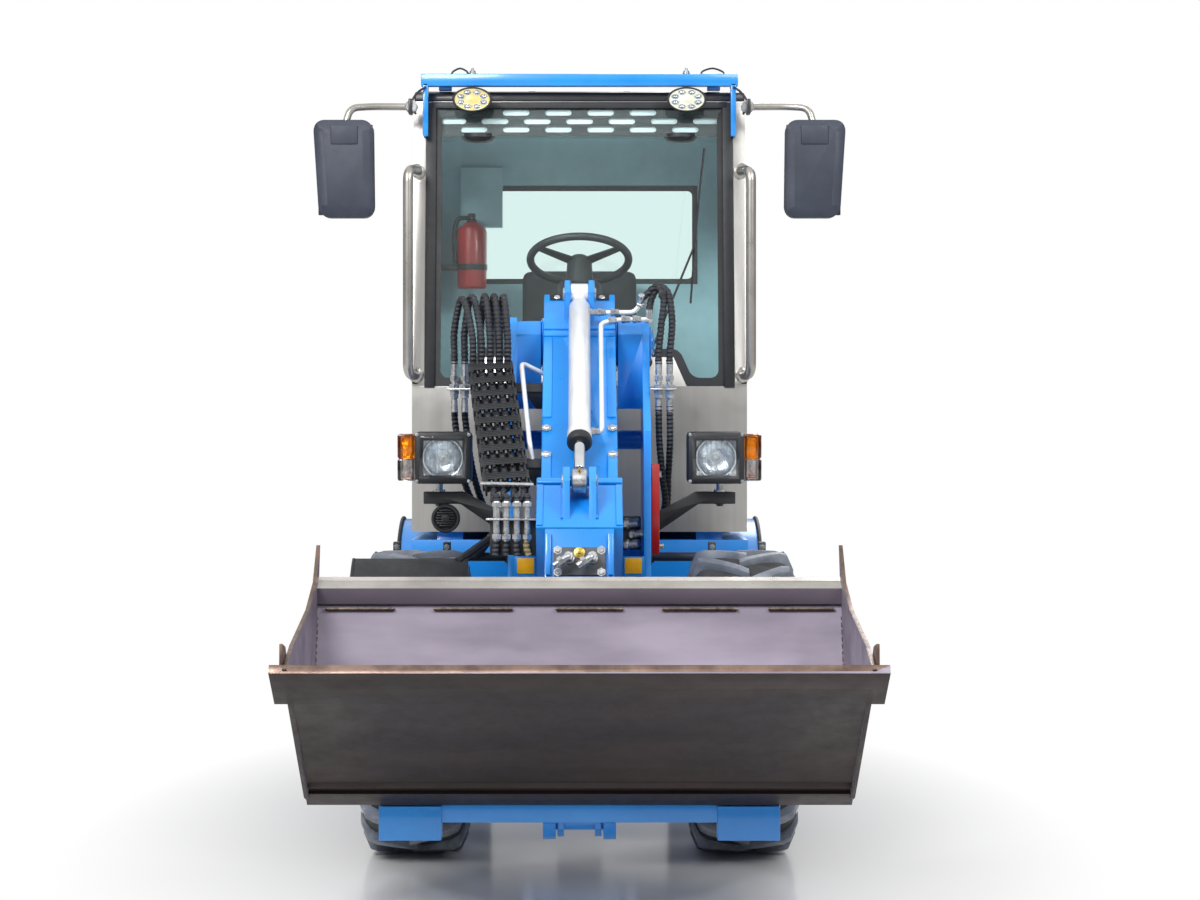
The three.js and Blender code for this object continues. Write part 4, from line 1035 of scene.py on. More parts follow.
amber = slab(
    "left_indicator_amber", here(473, -690, 1100), here(522, -630, 1170), "front_frame", "amber_lens", 0.006
)
white = slab(
    "left_indicator_clear", here(473, -690, 1036), here(522, -630, 1099), "front_frame", "clear_lens", 0.006
)
back = slab(
    "left_indicator_back", here(473, -630, 1034), here(521, -612, 1170), "front_frame", "black_plastic", 0.004
)
inner_amber = slab(
    "left_indicator_core", here(482, -650, 1042), here(512, -632, 1162), "front_frame", "reflector", 0.004
)
arm_plate = plate(
    "left_lamp_arm",
    [here(x, -640, z) for x, z in [(204.5, 890), (230, 890), (344, 968), (450, 968), (450, 1004), (336, 1004),
                                   (215, 940), (204.5, 940)]],
    Vector((0, 0.022, 0)), "front_frame", "black_paint", 0.003,
)
stem = turned(
    "left_headlamp_stem", here(405, -640, 1004), here(405, -640, 1030),
    [(0, 0.018), (0.006, 0.018), (0.006, 0.011),
                                                                       (0.028, 0.011)],
    "front_frame", "zinc", sides=20,
)
seat_nut = bolt_head(
    "left_headlamp_nut", here(405, -629, 968), Vector((0, 0, -1)), 0.011, "front_frame", "black_paint"
)
lamp_parts = [
    case, bowl, bulb, lens, surround, flutes, corner_bolts, amber, white, back, inner_amber, arm_plate,
    stem, seat_nut,
]
for piece in lamp_parts:
    copies(piece, [MIRROR], "front_frame", piece.name.replace("left_", "right_"))
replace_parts(case, "left_headlamp", "right_headlamp")
print("headlamp pieces", len(lamp_parts))

# %% Horn under the right lamp
horn_middle = here(-384, -690, 928)
horn = turned(
    "horn", here(-384, -622, 928), horn_middle,
    [(0, 0.030), (0.010, 0.036), (0.030, 0.041), (0.064, 0.041), (0.068, 0.038), (0.068, 0.033),
        (0.060, 0.030),
     (0.060, 0.014), (0.067, 0.011), (0.068, 0.008)],
    "front_frame", "black_plastic", sides=32,
)
slots = [
    slab(
        f"horn_rib_{i}", here(-384 - w, -690, 928 + z), here(-384 + w, -683, 931 + z), "front_frame",
        "black_paint", 0.0008
    )
    for i, (z, w) in enumerate([(-22, 19), (-15, 25), (-8, 28), (0, 29), (8, 28), (15, 25), (22, 19)])
]
joined(slots, "horn_grille")
slab("horn_bracket", here(-392, -634, 962), here(-376, -626, 972), "front_frame", "black_paint", 0.002)
print("horn", len(horn.data.polygons))

# %% [markdown]
# ## The boom and its extension cylinder
# The telescopic boom is two welded box tubes, one sliding in the other, with the extension cylinder on top.
# The cylinder is turned: a long white barrel that tapers to its foot, a dark gland, a chrome rod and an eye.

# %% Extension cylinder
LINE_UP = 147.5
barrel_foot = on_boom(0, -30, LINE_UP)
barrel_way = on_boom(0, 790, LINE_UP)
turned(
    "extension_barrel_turned", barrel_foot, barrel_way,
    [
        (0.0, 0.020), (0.030, 0.021), (0.052, 0.031), (0.636, 0.031), (0.638, 0.034), (0.660, 0.034),
        (0.662, 0.032)
    ],
    "boom", "barrel_paint", sides=40, stands_for=("extension_barrel",),
)
turned(
    "extension_gland", barrel_foot, barrel_way,
    [(0.662, 0.033), (0.667, 0.0345), (0.682, 0.0345), (0.687, 0.030), (0.687, 0.0155), (0.680, 0.0155)],
    "boom", "black_plastic", sides=40,
)
turned(
    "extension_foot_eye", on_boom(-26, -45, LINE_UP), on_boom(26, -45, LINE_UP),
    [(0, 0.029), (0.002, 0.031), (0.050, 0.031), (0.052, 0.029)], "boom", "barrel_paint", sides=32,
)
turned(
    "extension_rod_turned", on_boom(0, 90, LINE_UP), barrel_way,
    [(0, 0.0145), (0.01, 0.015), (0.672, 0.015), (0.676, 0.013)], "inner_boom_body", "chrome", sides=32,
    stands_for=("extension_rod",),
)
turned(
    "extension_rod_eye", on_boom(-21, 815, LINE_UP), on_boom(21, 815, LINE_UP),
    [(0, 0.030), (0.003, 0.034), (0.039, 0.034), (0.042, 0.030), (0.042, 0.017), (0.040, 0.017)],
    "inner_boom_body", "zinc", sides=36,
)
for across, along, up, body in ((44, -45, LINE_UP, "boom"), (45, 815, LINE_UP, "inner_boom_body")):
    for side in (-1, 1):
        way = Vector((side, 0, 0))
        name = f"{'foot' if along < 0 else 'rod'}_pin_head_{'left' if side > 0 else 'right'}"
        turned(
            name, on_boom(side * (across - 1), along, up), on_boom(side * (across + 30), along, up),
            [(0, 0.019), (0.004, 0.019), (0.006, 0.016)], body, "zinc", sides=24,
        )
turned(
    "grease_nipple", on_boom(0, 815, LINE_UP + 33), on_boom(0, 815, LINE_UP + 60),
    [(0, 0.005), (0.004, 0.005), (0.004, 0.003), (0.009, 0.003), (0.012, 0.004), (0.014, 0.0025)],
    "inner_boom_body", "brass", sides=12,
)
print("cylinder length", round((barrel_way - barrel_foot).length, 3))

# %% [markdown]
# Two steel pipes feed the cylinder: one short, one that runs down beside the barrel to the gland. Both cross
# to the hoses on the left of the tower, with hex nuts at every joint.


# %% Steel pipes with their nuts
def hex_nut(name, place, way, size, body, finish_name="zinc", tall=0.012):
    foot = place - way.normalized() * tall / 2
    return turned(
        name, foot, place, [(0, size * 0.9), (0.0012, size), (tall - 0.0012, size), (tall, size * 0.9)],
        body, finish_name, sides=6, smooth=20,
    )


pipe(
    "short_feed_pipe",
    rounded_path([on_boom(16, 46, LINE_UP), on_boom(160, 46, LINE_UP), on_boom(178, 36, LINE_UP + 26)], 0.02),
    0.007, "boom", "barrel_paint", sides=5,
)
pipe(
    "long_feed_pipe",
    rounded_path([
        on_boom(16, 602, LINE_UP), on_boom(62, 602, LINE_UP), on_boom(62, 96, LINE_UP),
        on_boom(120, 80, LINE_UP),
        on_boom(197, 80, LINE_UP),
    ], 0.02),
    0.007, "boom", "barrel_paint", sides=5,
)
pipe(
    "chain_side_pipe",
    rounded_path(
        [on_boom(-103, 238, 70), on_boom(-166, 250, 118), on_boom(-138, 610, 118), on_boom(-126, 655, 60)],
        0.02
    ),
    0.007, "boom", "barrel_paint", sides=5,
)
nuts = []
for i, (x, along, up, way) in enumerate([
    (32, 46, LINE_UP, (1, 0, 0)), (58, 46, LINE_UP, (1, 0, 0)), (96, 46, LINE_UP, (1, 0, 0)),
    (88, 86, LINE_UP, (1, 0.1, 0)), (128, 80, LINE_UP, (1, 0, 0)), (160, 80, LINE_UP, (1, 0, 0)),
    (38, 602, LINE_UP, (1, 0, 0)),
]):
    nuts.append(hex_nut(f"feed_nut_{i}", on_boom(x, along, up), Vector(way), 0.0115, "boom"))
    nuts.append(
        hex_nut(f"feed_collar_{i}", on_boom(x + 11, along, up), Vector(way), 0.0095, "boom", tall=0.016)
    )
joined(nuts, "feed_nuts")
print("feed pipes", len(nuts), "nuts")

# %% [markdown]
# The outer tube carries a stiff collar at its mouth, side strips and a cap at its foot, all welded on, and
# wear pads held by bolts. These are the lines that catch the light on a plain blue box.

# %% Collars, strips and bolts on the boom
UP_FACE = (on_boom(0, 0, 1) - on_boom(0, 0, 0)).normalized()
DOWN_BOOM = (on_boom(0, 1, 0) - on_boom(0, 0, 0)).normalized()


def boom_plate(name, x0, x1, a0, a1, up, thick, body, finish_name="blue_paint", edge=0.002):
    corners = [on_boom(x0, a0, up), on_boom(x1, a0, up), on_boom(x1, a1, up), on_boom(x0, a1, up)]
    return plate(name, corners, UP_FACE * thick / 1000, body, finish_name, edge)


boom_plate("boom_foot_cap", -104, 104, -108, 62, 92, 9, "boom")
boom_plate("boom_foot_step", -104, 104, 62, 86, 92, 5, "boom")
boom_plate("boom_foot_cover", -88, 88, -104, -78, 101, 3, "boom", "black_plastic", 0.001)
for side, word in ((-1, "right"), (1, "left")):
    x0, x1 = sorted((side * 78, side * 104))
    boom_plate(f"boom_side_strip_{word}", x0, x1, 96, 470, 92, 4, "boom", edge=0.0015)
    boom_plate(f"boom_mouth_strip_{word}", x0, x1, 640, 742, 92, 7, "boom", edge=0.002)
bolts = []
for i, (x, a) in enumerate([(-66, -90), (66, -90), (-92, 520), (92, 520), (-92, 640), (92, 640)]):
    bolts.append(
        bolt_head(
            f"boom_bolt_{i}", on_boom(x, a, 100 if a < 0 else 96 if a < 630 else 99), UP_FACE, 0.010, "boom"
        )
    )
for i, (a, u) in enumerate([(690, 45), (690, -45), (730, 0), (250, 40), (250, -40), (120, 0)]):
    for side in (-1, 1):
        bolts.append(
            bolt_head(
                f"boom_pad_bolt_{i}_{side}", on_boom(side * 105, a, u), Vector((side, 0, 0)), 0.009, "boom"
            )
        )
joined(bolts, "boom_bolts")
seams = [
    bead("collar_weld_top", on_boom(-104, 742, 94), on_boom(104, 742, 94), 0.004, "boom", "blue_paint"),
    bead("cap_weld", on_boom(-104, 87, 94), on_boom(104, 87, 94), 0.003, "boom", "blue_paint"),
]
for side in (-1, 1):
    seams.append(
        bead(
            f"ear_weld_{side}", on_boom(side * 46, -88, 94), on_boom(side * 46, 14, 94), 0.004, "boom",
            "blue_paint"
        )
    )
joined(seams, "boom_welds")
for side, word in ((-1, "right"), (1, "left")):
    bead(
        f"rod_ear_weld_{word}", on_boom(side * 47, 798, 107), on_boom(side * 47, 922, 107), 0.004,
        "inner_boom_body", "blue_paint"
    )
print("boom strips and", len(bolts), "bolts")

# %% [markdown]
# The knee's face carries the tool's oil connection: a grey plate with four bolts, a brass bleed fitting and
# two bright elbows.


# %% Coupling plate on the knee
def on_knee(x, down, out):
    return here(x, -1252 - 0.305 * down - 0.952 * out, 925 - 0.952 * down + 0.305 * out)


KNEE_OUT = (on_knee(0, 0, 1) - on_knee(0, 0, 0)).normalized()
plate(
    "coupling_plate", [on_knee(x, d, 0.2) for x, d in [(-68, 52), (68, 52), (68, 128), (-68, 128)]],
    KNEE_OUT * 0.007, "inner_boom_body", "cast_grey", 0.0015,
)
for side, word in ((-1, "right"), (1, "left")):
    plate(
        f"knee_cheek_{word}", [
            on_knee(side * x, d, 0.2) for x, d in [(76, 14), (90, 14), (90, 128), (76, 128)]
        ],
        KNEE_OUT * 0.009, "inner_boom_body", "blue_paint", 0.002,
    )
    plate(
        f"head_cheek_{word}",
        [on_boom(side * x, a, 105.2) for x, a in [(98, 782), (115, 782), (115, 950), (98, 950)]],
        UP_FACE * 0.004, "inner_boom_body", "blue_paint", 0.0015,
    )
for i, (x, down) in enumerate([(-58, 60), (58, 60), (-58, 120), (58, 120)]):
    bolt_head(f"coupling_bolt_{i}", on_knee(x, down, 7), KNEE_OUT, 0.008, "inner_boom_body")
turned(
    "bleed_fitting", on_knee(0, 68, 7), on_knee(0, 68, 40),
    [(0, 0.015), (0.004, 0.015), (0.005, 0.010), (0.010, 0.010), (0.011, 0.005), (0.016, 0.004)],
    "inner_boom_body", "brass", sides=20,
)
for i, x in enumerate((-28, 34)):
    turned(
        f"coupler_body_{i}", on_knee(x, 84, 7), on_knee(x, 84, 60),
        [
            (0, 0.014), (0.006, 0.014), (0.007, 0.011), (0.022, 0.011), (0.024, 0.013), (0.032, 0.013),
            (0.035, 0.010)
        ],
        "inner_boom_body", "zinc", sides=24,
    )
    pipe(
        f"coupler_elbow_{i}",
        rounded_path([on_knee(x, 84, 22), on_knee(x, 84, 40), on_knee(x - 40, 112, 40)], 0.012),
        0.009, "inner_boom_body", "zinc", sides=5,
    )
    hex_nut(
        f"coupler_nut_{i}", on_knee(x - 22, 99.5, 40), on_knee(x - 40, 112, 40) - on_knee(x, 84, 40), 0.013,
        "inner_boom_body", tall=0.014,
    )
print("coupling plate")

# %% [markdown]
# ## Hoses and the energy chain
# Every hose wears a spiral guard: the swept tube's width alternates every few millimetres, which gives real
# rings. Loops that join the tower to the boom, and the tails below the chain, are swept in place and ride on no
# body. Crimped ferrules and hex nuts end each hose.


# %% One fitting
def fitting(name, place, way, body, length=0.052, size=0.012):
    way = way.normalized()
    foot = place - way * length / 2
    steps = [
        (0, size * 0.75), (0.002, size * 0.85), (length * 0.30, size * 0.85), (length * 0.32, size * 0.7),
        (length * 0.38, size * 0.7), (length * 0.40, size * 0.8), (length * 0.98, size * 0.8),
        (length, size * 0.6),
    ]
    sleeve = turned(name, foot, place, steps, body, "zinc", sides=14)
    nut = hex_nut(name + "_nut", foot + way * length * 0.2, way, size * 1.12, body, tall=length * 0.26)
    return [sleeve, nut]


UPWARD = Vector((0, 0, 1))


def bulkhead(name, spots, x0, x1, node):
    table = slab(name + "_plate", here(x0, -640, 1296), here(x1, -590, 1302), "front_frame", "zinc", 0.0015)
    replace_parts(table, node)
    parts = []
    for i, x in enumerate(spots):
        parts += fitting(f"{name}_top_{i}", here(x, -615, 1350), UPWARD, "front_frame", 0.060)
        parts += fitting(f"{name}_low_{i}", here(x, -615, 1262), -UPWARD, "front_frame", 0.060)
        parts.append(
            hex_nut(f"{name}_lock_{i}", here(x, -615, 1308), UPWARD, 0.0165, "front_frame", tall=0.011)
        )
        parts.append(
            hex_nut(f"{name}_under_{i}", here(x, -615, 1290), UPWARD, 0.0155, "front_frame", tall=0.011)
        )
        parts.append(turned(
            f"{name}_tube_{i}", here(x, -615, 1244), here(x, -615, 1374),
            [(0, 0.0085), (0.128, 0.0085), (0.130, 0.008)],
            "front_frame", "zinc", sides=14,
        ))
    return joined(parts, name + "_fittings")


bulkhead("left_bulkhead", (229, 261), 204.4, 280, "left_bulkhead")
bulkhead("right_bulkhead", (-362, -332, -286, -258, -230), -382, -204.4, "right_bulkhead")
slab("left_hose_clip", here(204.4, -613, 852), here(221, -547, 913), "front_frame", "black_plastic", 0.004)
slab("right_hose_clip", here(-221, -613, 852), here(-204.4, -547, 913), "front_frame", "black_plastic", 0.004)
print("bulkheads")


# %% Hoses
def hose(name, points, radius, body, finish_name="hose_guard", stands_for=()):
    return pipe(
        name, hanging_path([Vector(p) for p in points]), radius, body, finish_name, rings=0.15, sides=3,
        stands_for=stands_for,
    )


def drop(name, points):
    return hose(name, [here(*p) for p in points], 0.0105, "front_frame")


drop(
    "left_drop_hose_1", [
        (229, -615, 1250), (231, -615, 1150), (240, -602, 1050), (248, -590, 960), (215, -590, 900)
    ]
)
drop(
    "left_drop_hose_2", [
        (261, -615, 1250), (262, -610, 1150), (258, -585, 1050), (252, -575, 950), (215, -560, 870)
    ]
)
drop(
    "right_drop_hose_1", [
        (-362, -615, 1250), (-360, -584, 1195), (-340, -572, 1050), (-300, -575, 960), (-215, -590, 900)
    ]
)
drop(
    "right_drop_hose_2", [
        (-332, -615, 1250), (-330, -582, 1195), (-308, -565, 1050), (-270, -560, 940), (-215, -560, 870)
    ]
)
first = hose("left_loop_1", [
    here(229, -615, 1372), here(229, -615, 1400), here(236, -614, 1480), here(244, -602, 1562),
    here(224, -580, 1597),
    here(196, -568, 1576), on_boom(180, 36, LINE_UP + 42),
], 0.0108, None, stands_for=("left_hose_loops",))
second = hose("left_loop_2", [
    here(261, -615, 1372), here(261, -615, 1400), here(268, -614, 1490), here(258, -600, 1574),
    here(232, -578, 1596),
    here(210, -568, 1562), on_boom(201, 70, LINE_UP + 14),
], 0.0108, None)
for loop in (first, second):
    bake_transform(loop)
for i, place, way in ((1, on_boom(179, 36, LINE_UP + 36), on_boom(180, 36, LINE_UP + 60)),
                      (2, on_boom(200, 74, LINE_UP + 8), on_boom(202, 62, LINE_UP + 40))):
    joined(fitting(f"left_loop_end_{i}", place, way - place, "boom", 0.040), f"left_loop_end_{i}")
slab("left_loop_clip", here(229, -611, 1563), here(251, -585, 1587), "boom", "black_plastic", 0.004)
CHAIN_X = -256
CHAIN_LEAN = 60 / 550
chain_top = on_boom(0, 250, LINE_UP - 43)
for i, (x0, x1, top) in enumerate([
    (-362, -306, 1555), (-332, -281, 1560), (-286, -256, 1562), (-258, -231, 1562), (-230, -206, 1560),
]):
    loop = hose(f"right_loop_{i + 1}", [
        here(x0, -615, 1372), here(x0, -615, 1400), here(x0, -612, 1470), here((x0 * 2 + x1) / 3, -632, top),
        here((x0 + x1 * 2) / 3, -668, top - 20),
        Vector((x1 / 1000, chain_top.y - 0.002, chain_top.z + 0.080)),
        Vector((x1 / 1000, chain_top.y + 0.006, chain_top.z + 0.008)),
        on_boom(x1, 262, LINE_UP - 43),
    ], 0.0108, None, stands_for=("right_hose_loops",) if i == 0 else ())
    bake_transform(loop)
    hose(
        f"chain_hose_{i + 1}",
        [on_boom(x1 + k * 90 * CHAIN_LEAN, 258 + k * 90, LINE_UP - 43) for k in range(7)], 0.0105, "boom"
    )
print("loops and chain hoses")

# %% [markdown]
# The chain is a row of hinged plastic frames. One link is modelled, with side plates that overlap their
# neighbours, a ribbed crossbar and snap-in teeth, and the rest are copies.

# %% Chain links
LINK = 61.0
LINKS = 9


def chain_slab(name, x0, x1, a0, a1, u0, u1, edge=0.0012):
    corners = [on_boom(x0, a0, u0), on_boom(x1, a0, u0), on_boom(x1, a1, u0), on_boom(x0, a1, u0)]
    return plate(name, corners, UP_FACE * (u1 - u0) / 1000, "boom", "black_plastic", edge)


base = LINE_UP - 62
parts = []
for side in (-1, 1):
    x = CHAIN_X + side * 60
    parts.append(chain_slab(f"side_{side}", x - 4, x + 4, 252, 252 + LINK * 0.62, base, base + 37))
    x = CHAIN_X + side * 56
    parts.append(
        chain_slab(f"side_in_{side}", x - 3, x + 3, 252 + LINK * 0.45, 252 + LINK, base + 2, base + 35)
    )
parts.append(
    chain_slab(
        "bar_top", CHAIN_X - 61, CHAIN_X + 61, 252 + LINK * 0.10, 252 + LINK * 0.52, base + 33, base + 37.5
    )
)
parts.append(
    chain_slab("bar_low", CHAIN_X - 59, CHAIN_X + 59, 252 + LINK * 0.10, 252 + LINK * 0.52, base, base + 4)
)
for k in range(5):
    x = CHAIN_X - 50 + k * 25
    parts.append(
        chain_slab(f"tooth_{k}", x - 7, x + 1, 252 + LINK * 0.52, 252 + LINK * 0.66, base + 32, base + 37)
    )
for k in range(3):
    parts.append(chain_slab(
        f"rib_{k}", CHAIN_X - 57, CHAIN_X + 57, 252 + LINK * (0.14 + 0.12 * k),
        252 + LINK * (0.18 + 0.12 * k),
        base + 37, base + 38.5, 0.0005,
    ))
link = joined(parts, "chain_link")
step = on_boom(0, LINK, 0) - on_boom(0, 0, 0)
pitch = Vector((CHAIN_LEAN * LINK / 1000, 0, 0)) + step
hinge_point = on_boom(CHAIN_X, 250, base)
lean = (
    Matrix.Translation(hinge_point) @ Matrix.Rotation(math.atan(CHAIN_LEAN), 4, UP_FACE)
    @ Matrix.Translation(-hinge_point)
)
link.data.transform(lean)
links = [link] + copies(link, [Matrix.Translation(pitch * i) for i in range(1, LINKS)], "boom", "chain_link")
chain = joined(links, "energy_chain_links")
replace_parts(chain, "energy_chain")
for i, a in enumerate((300, 640)):
    chain_slab(f"chain_support_{i}", -250 + 25 * i, -105.4, a, a + 40, base - 8, base - 1)
    corners = [on_boom(x, a, u) for x, u in [(-105.4, 20), (-125, 20), (-155, base - 8), (-105.4, base - 8)]]
    plate(f"chain_gusset_{i}", corners, DOWN_BOOM * 0.040, "boom", "black_paint", 0.002)
slab_corners = [on_boom(x, a, base + 38) for x, a in [(-268, 793), (-124, 799), (-124, 809), (-268, 803)]]
plate("chain_tie_bar", slab_corners, UP_FACE * 0.005, "boom", "zinc", 0.001)
print("chain faces", len(chain.data.polygons))

# %% Tails below the chain
tails = [(-232, -222), (-205, -196), (-178, -168), (-151, -140)]
for i, (x0, x1) in enumerate(tails):
    tail = hose(f"tail_hose_{i + 1}", [
        on_boom(x0, 780, LINE_UP - 43), on_boom(x0, 806, LINE_UP - 43), on_boom(x0, 840, LINE_UP - 50),
        here(x1, -1190, 1010), here(x1, -1200, 975),
    ], 0.0092, None, stands_for=("right_hose_tails",) if i == 0 else ())
    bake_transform(tail)
    ends = fitting(f"tail_top_{i}", here(x1, -1200, 974), -UPWARD, "inner_boom_body", 0.046)
    ends += fitting(f"tail_low_{i}", here(x1, -1202, 918), UPWARD, "inner_boom_body", 0.056)
    joined(ends, f"tail_fittings_{i + 1}")
    low_end = [here(x1, -1202, 895), here(x1 - 2, -1204, 872), here(x1 - 4 + 3 * i, -1206, 852)]
    hose(
        f"tail_lower_hose_{i + 1}", low_end, 0.0098, "inner_boom_body", "tan_hose" if i == 3 else "hose_guard"
    )
slab("tail_plate", here(-250, -1225, 946), here(-116.4, -1175, 951), "inner_boom_body", "zinc", 0.001)
slab(
    "tail_bracket", here(-240, -1196, 852), here(-116.4, -1191, 946), "inner_boom_body", "black_paint", 0.001
)
print("tails", len(tails))

# %% [markdown]
# ## Inside and on the windscreen
# The sun panel behind the glass is black with rows of slots that show pale. The wiper is a sprung arm with a
# blade of its own. Two oval LED lamps hang from the blue bar: a dark rim, a bright dish, a ring of domes.


# %% Sun panel, its pale backing and the front seal
def glass_line(z):
    return -100 + max(0, z - 1308) * 120 / 928


def leaning(name, x0, x1, z0, z1, back, thick, finish_name, edge=0.001):
    corners = [here(x, glass_line(z) + back, z) for x, z in [(x0, z0), (x1, z0), (x1, z1), (x0, z1)]]
    return plate(name, corners, Vector((0, thick / 1000, 0)), "rear_frame", finish_name, edge)


leaning("sun_panel_backing", -440, 440, 2096, 2180, 18, 2, "pale_liner")
rounded("cab_roof", 0.006, "black_paint", suffix="_black")
for label, corners in [
    ("top", [(-462, 2178), (462, 2178), (462, 2198), (-462, 2198)]),
    ("left", [(446, 1306), (478, 1306), (478, 2196), (446, 2196)]),
    ("right", [(-478, 1306), (-446, 1306), (-446, 2196), (-478, 2196)]),
]:
    plate(
        f"windscreen_seal_{label}", [here(x, glass_line(z) - 0.5, z) for x, z in corners],
        Vector((0, -0.004, 0)),
        "rear_frame", "black_plastic", 0.0015,
    )
print("sun panel and seals")

# %% Wiper
wiper_foot = here(207, glass_line(1385) - 14, 1385)
wiper_join = here(358, glass_line(1751) - 12, 1751)
pipe("wiper_arm", [wiper_foot, wiper_foot.lerp(wiper_join, 0.5) + Vector((0, -0.012, 0)), wiper_join], 0.0035,
     "rear_frame", "black_plastic")
blade = [here(388.6, glass_line(2051) - 3, 2051), here(372, glass_line(1900) - 4, 1900),
         here(358, glass_line(1751) - 4, 1751), here(343.6, glass_line(1567) - 3, 1567)]
pipe("wiper_blade", hanging_path(blade, 0.02), 0.0035, "rear_frame", "black_plastic", sides=1)
spine = [
    b + Vector((0, -0.006, 0)) for b in (
        blade[0].lerp(blade[1], 0.4), blade[1], blade[2], blade[2].lerp(blade[3], 0.6)
    )
]
pipe("wiper_spine", hanging_path(spine, 0.02), 0.0028, "rear_frame", "black_plastic", sides=1)
turned(
    "wiper_pivot", here(207, glass_line(1385) + 0, 1385), here(207, glass_line(1385) - 30, 1385),
    [(0, 0.018), (0.010, 0.018), (0.012, 0.013), (0.022, 0.012), (0.025, 0.008)], "rear_frame",
    "black_plastic",
)
print("wiper")


# %% Oval LED lamps
def oval_lamp(word, x, dome_finish):
    middle = here(x, -62, 2198)
    front = middle + Vector((0, -0.05, 0))
    back = middle + Vector((0, 0.030, 0))
    wide = Matrix.Translation(middle) @ Matrix.Scale(1.62, 4, (1, 0, 0)) @ Matrix.Translation(-middle)
    rim = turned(
        f"{word}_led_rim", back, front,
        [(0, 0.022), (0.012, 0.032), (0.022, 0.0375), (0.030, 0.0385), (0.032, 0.037), (0.032, 0.0345),
            (0.025, 0.033),
         (0.025, 0.002)],
        "rear_frame", "black_plastic", sides=48,
    )
    dish = turned(
        f"{word}_led_dish", middle + Vector((0, 0.0049, 0)), front,
        [(0, 0.0335), (0.003, 0.0335), (0.0015, 0.018), (0.0015, 0.010), (0.004, 0.006)],
        "rear_frame", dome_finish, sides=48,
    )
    pane = turned(
        f"{word}_led_pane", middle, front, [(0.0005, 0.034), (0.002, 0.034), (0.0026, 0.030)],
        "rear_frame", "lens_glass", sides=48,
    )
    domes = []
    for i in range(8):
        a = math.tau * (i + 0.5) / 8
        place = middle + Vector((0.0235 * math.cos(a) * 1.0, 0.003, 0.0235 * math.sin(a)))
        domes.append(turned(
            f"{word}_led_dome_{i}", place, place + Vector((0, -0.05, 0)),
            [
                (0, 0.0078), (0.0012, 0.0078), (0.0012, 0.0062), (0.003, 0.0052), (0.0042, 0.003),
                (0.0045, 0.001)
            ],
            "rear_frame", "reflector", sides=16,
        ))
    cluster = joined(domes, f"{word}_led_domes")
    for piece in (rim, dish, pane, cluster):
        piece.data.transform(wide)
    pipe(
        f"{word}_led_bracket", [here(x, -40, 2226), here(x, -34, 2240), here(x, -30, 2245)], 0.006,
        "rear_frame",
        "black_paint",
    )
    return rim


bar = slab("lamp_bar_beam", here(-492, -40, 2242), here(492, -4, 2280), "rear_frame", "blue_paint", 0.003)
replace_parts(bar, "roof_lamp_bar")
slab("lamp_bar_shelf", here(-440, -30, 2262), here(440, 60, 2272), "rear_frame", "blue_paint", 0.002)
for side, word in ((1, "left"), (-1, "right")):
    x0, x1 = sorted((side * 400, side * 440))
    slab(f"{word}_bar_foot", here(x0, 30, 2236.4), here(x1, 60, 2264), "rear_frame", "blue_paint", 0.002)
    x0, x1 = sorted((side * 324, side * 340))
    slab(f"{word}_lamp_stay", here(x0, -30, 2206), here(x1, -14, 2244), "rear_frame", "blue_paint", 0.002)
    plate(
        f"{word}_bar_bracket",
        [here(side * 470, y, z) for y,
            z in [(-40, 2087), (glass_line(2087) - 1, 2087), (glass_line(2236) - 1, 2236),
                                             (glass_line(2236) - 1, 2250), (-40, 2250)]],
        Vector((side * 0.016, 0, 0)), "rear_frame", "blue_paint", 0.0015,
    )
for word, x, tone in (("left", 332, "led_dome"), ("right", -332, "amber_dome")):
    oval_lamp(word, x, tone)
    turned(
        f"{word}_bar_stud", here(x, -22, 2280), here(x, -22, 2320),
        [
            (0, 0.012), (0.005, 0.012), (0.005, 0.009), (0.011, 0.009), (0.011, 0.0045), (0.019, 0.0045),
            (0.020, 0.003)
        ],
        "rear_frame", "zinc", sides=12,
    )
    side = 1 if x > 0 else -1
    start, end = (side * 378, side * 450) if x > 0 else (side * 346, side * 398)
    pipe(
        f"{word}_cable_loop",
        hanging_path([here(start, -16, 2278), here(start + side * 4, -14, 2290),
            here((start + end) / 2, -12, 2300),
                      here(end - side * 4, -14, 2289), here(end, -16, 2278)], 0.008),
        0.003, "rear_frame", "black_plastic", sides=2,
    )
    pipe(
        f"{word}_bracket_cable",
        hanging_path([here(side * 478, -44, 2238), here(side * 496, -58, 2224), here(side * 510, -70, 2206),
                      here(side * 516, -76, 2188), here(side * 506, -72, 2150)], 0.01),
        0.004, "rear_frame", "black_plastic", rings=0.15, sides=2,
    )
    for k, z in enumerate((2100, 2120, 2216)):
        bolt_head(
            f"{word}_bracket_bolt_{k}",
            here(side * 478, glass_line(z) - 1, z) + Vector((side * 0.008, 0.004, 0)),
            Vector((side, 0, 0)), 0.006, "rear_frame",
        )
print("lamps on the bar")

# %% [markdown]
# Two black domes hang under the sun panel, where the roof lamps' cables come through. The grab rails are bent
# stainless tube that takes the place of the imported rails.

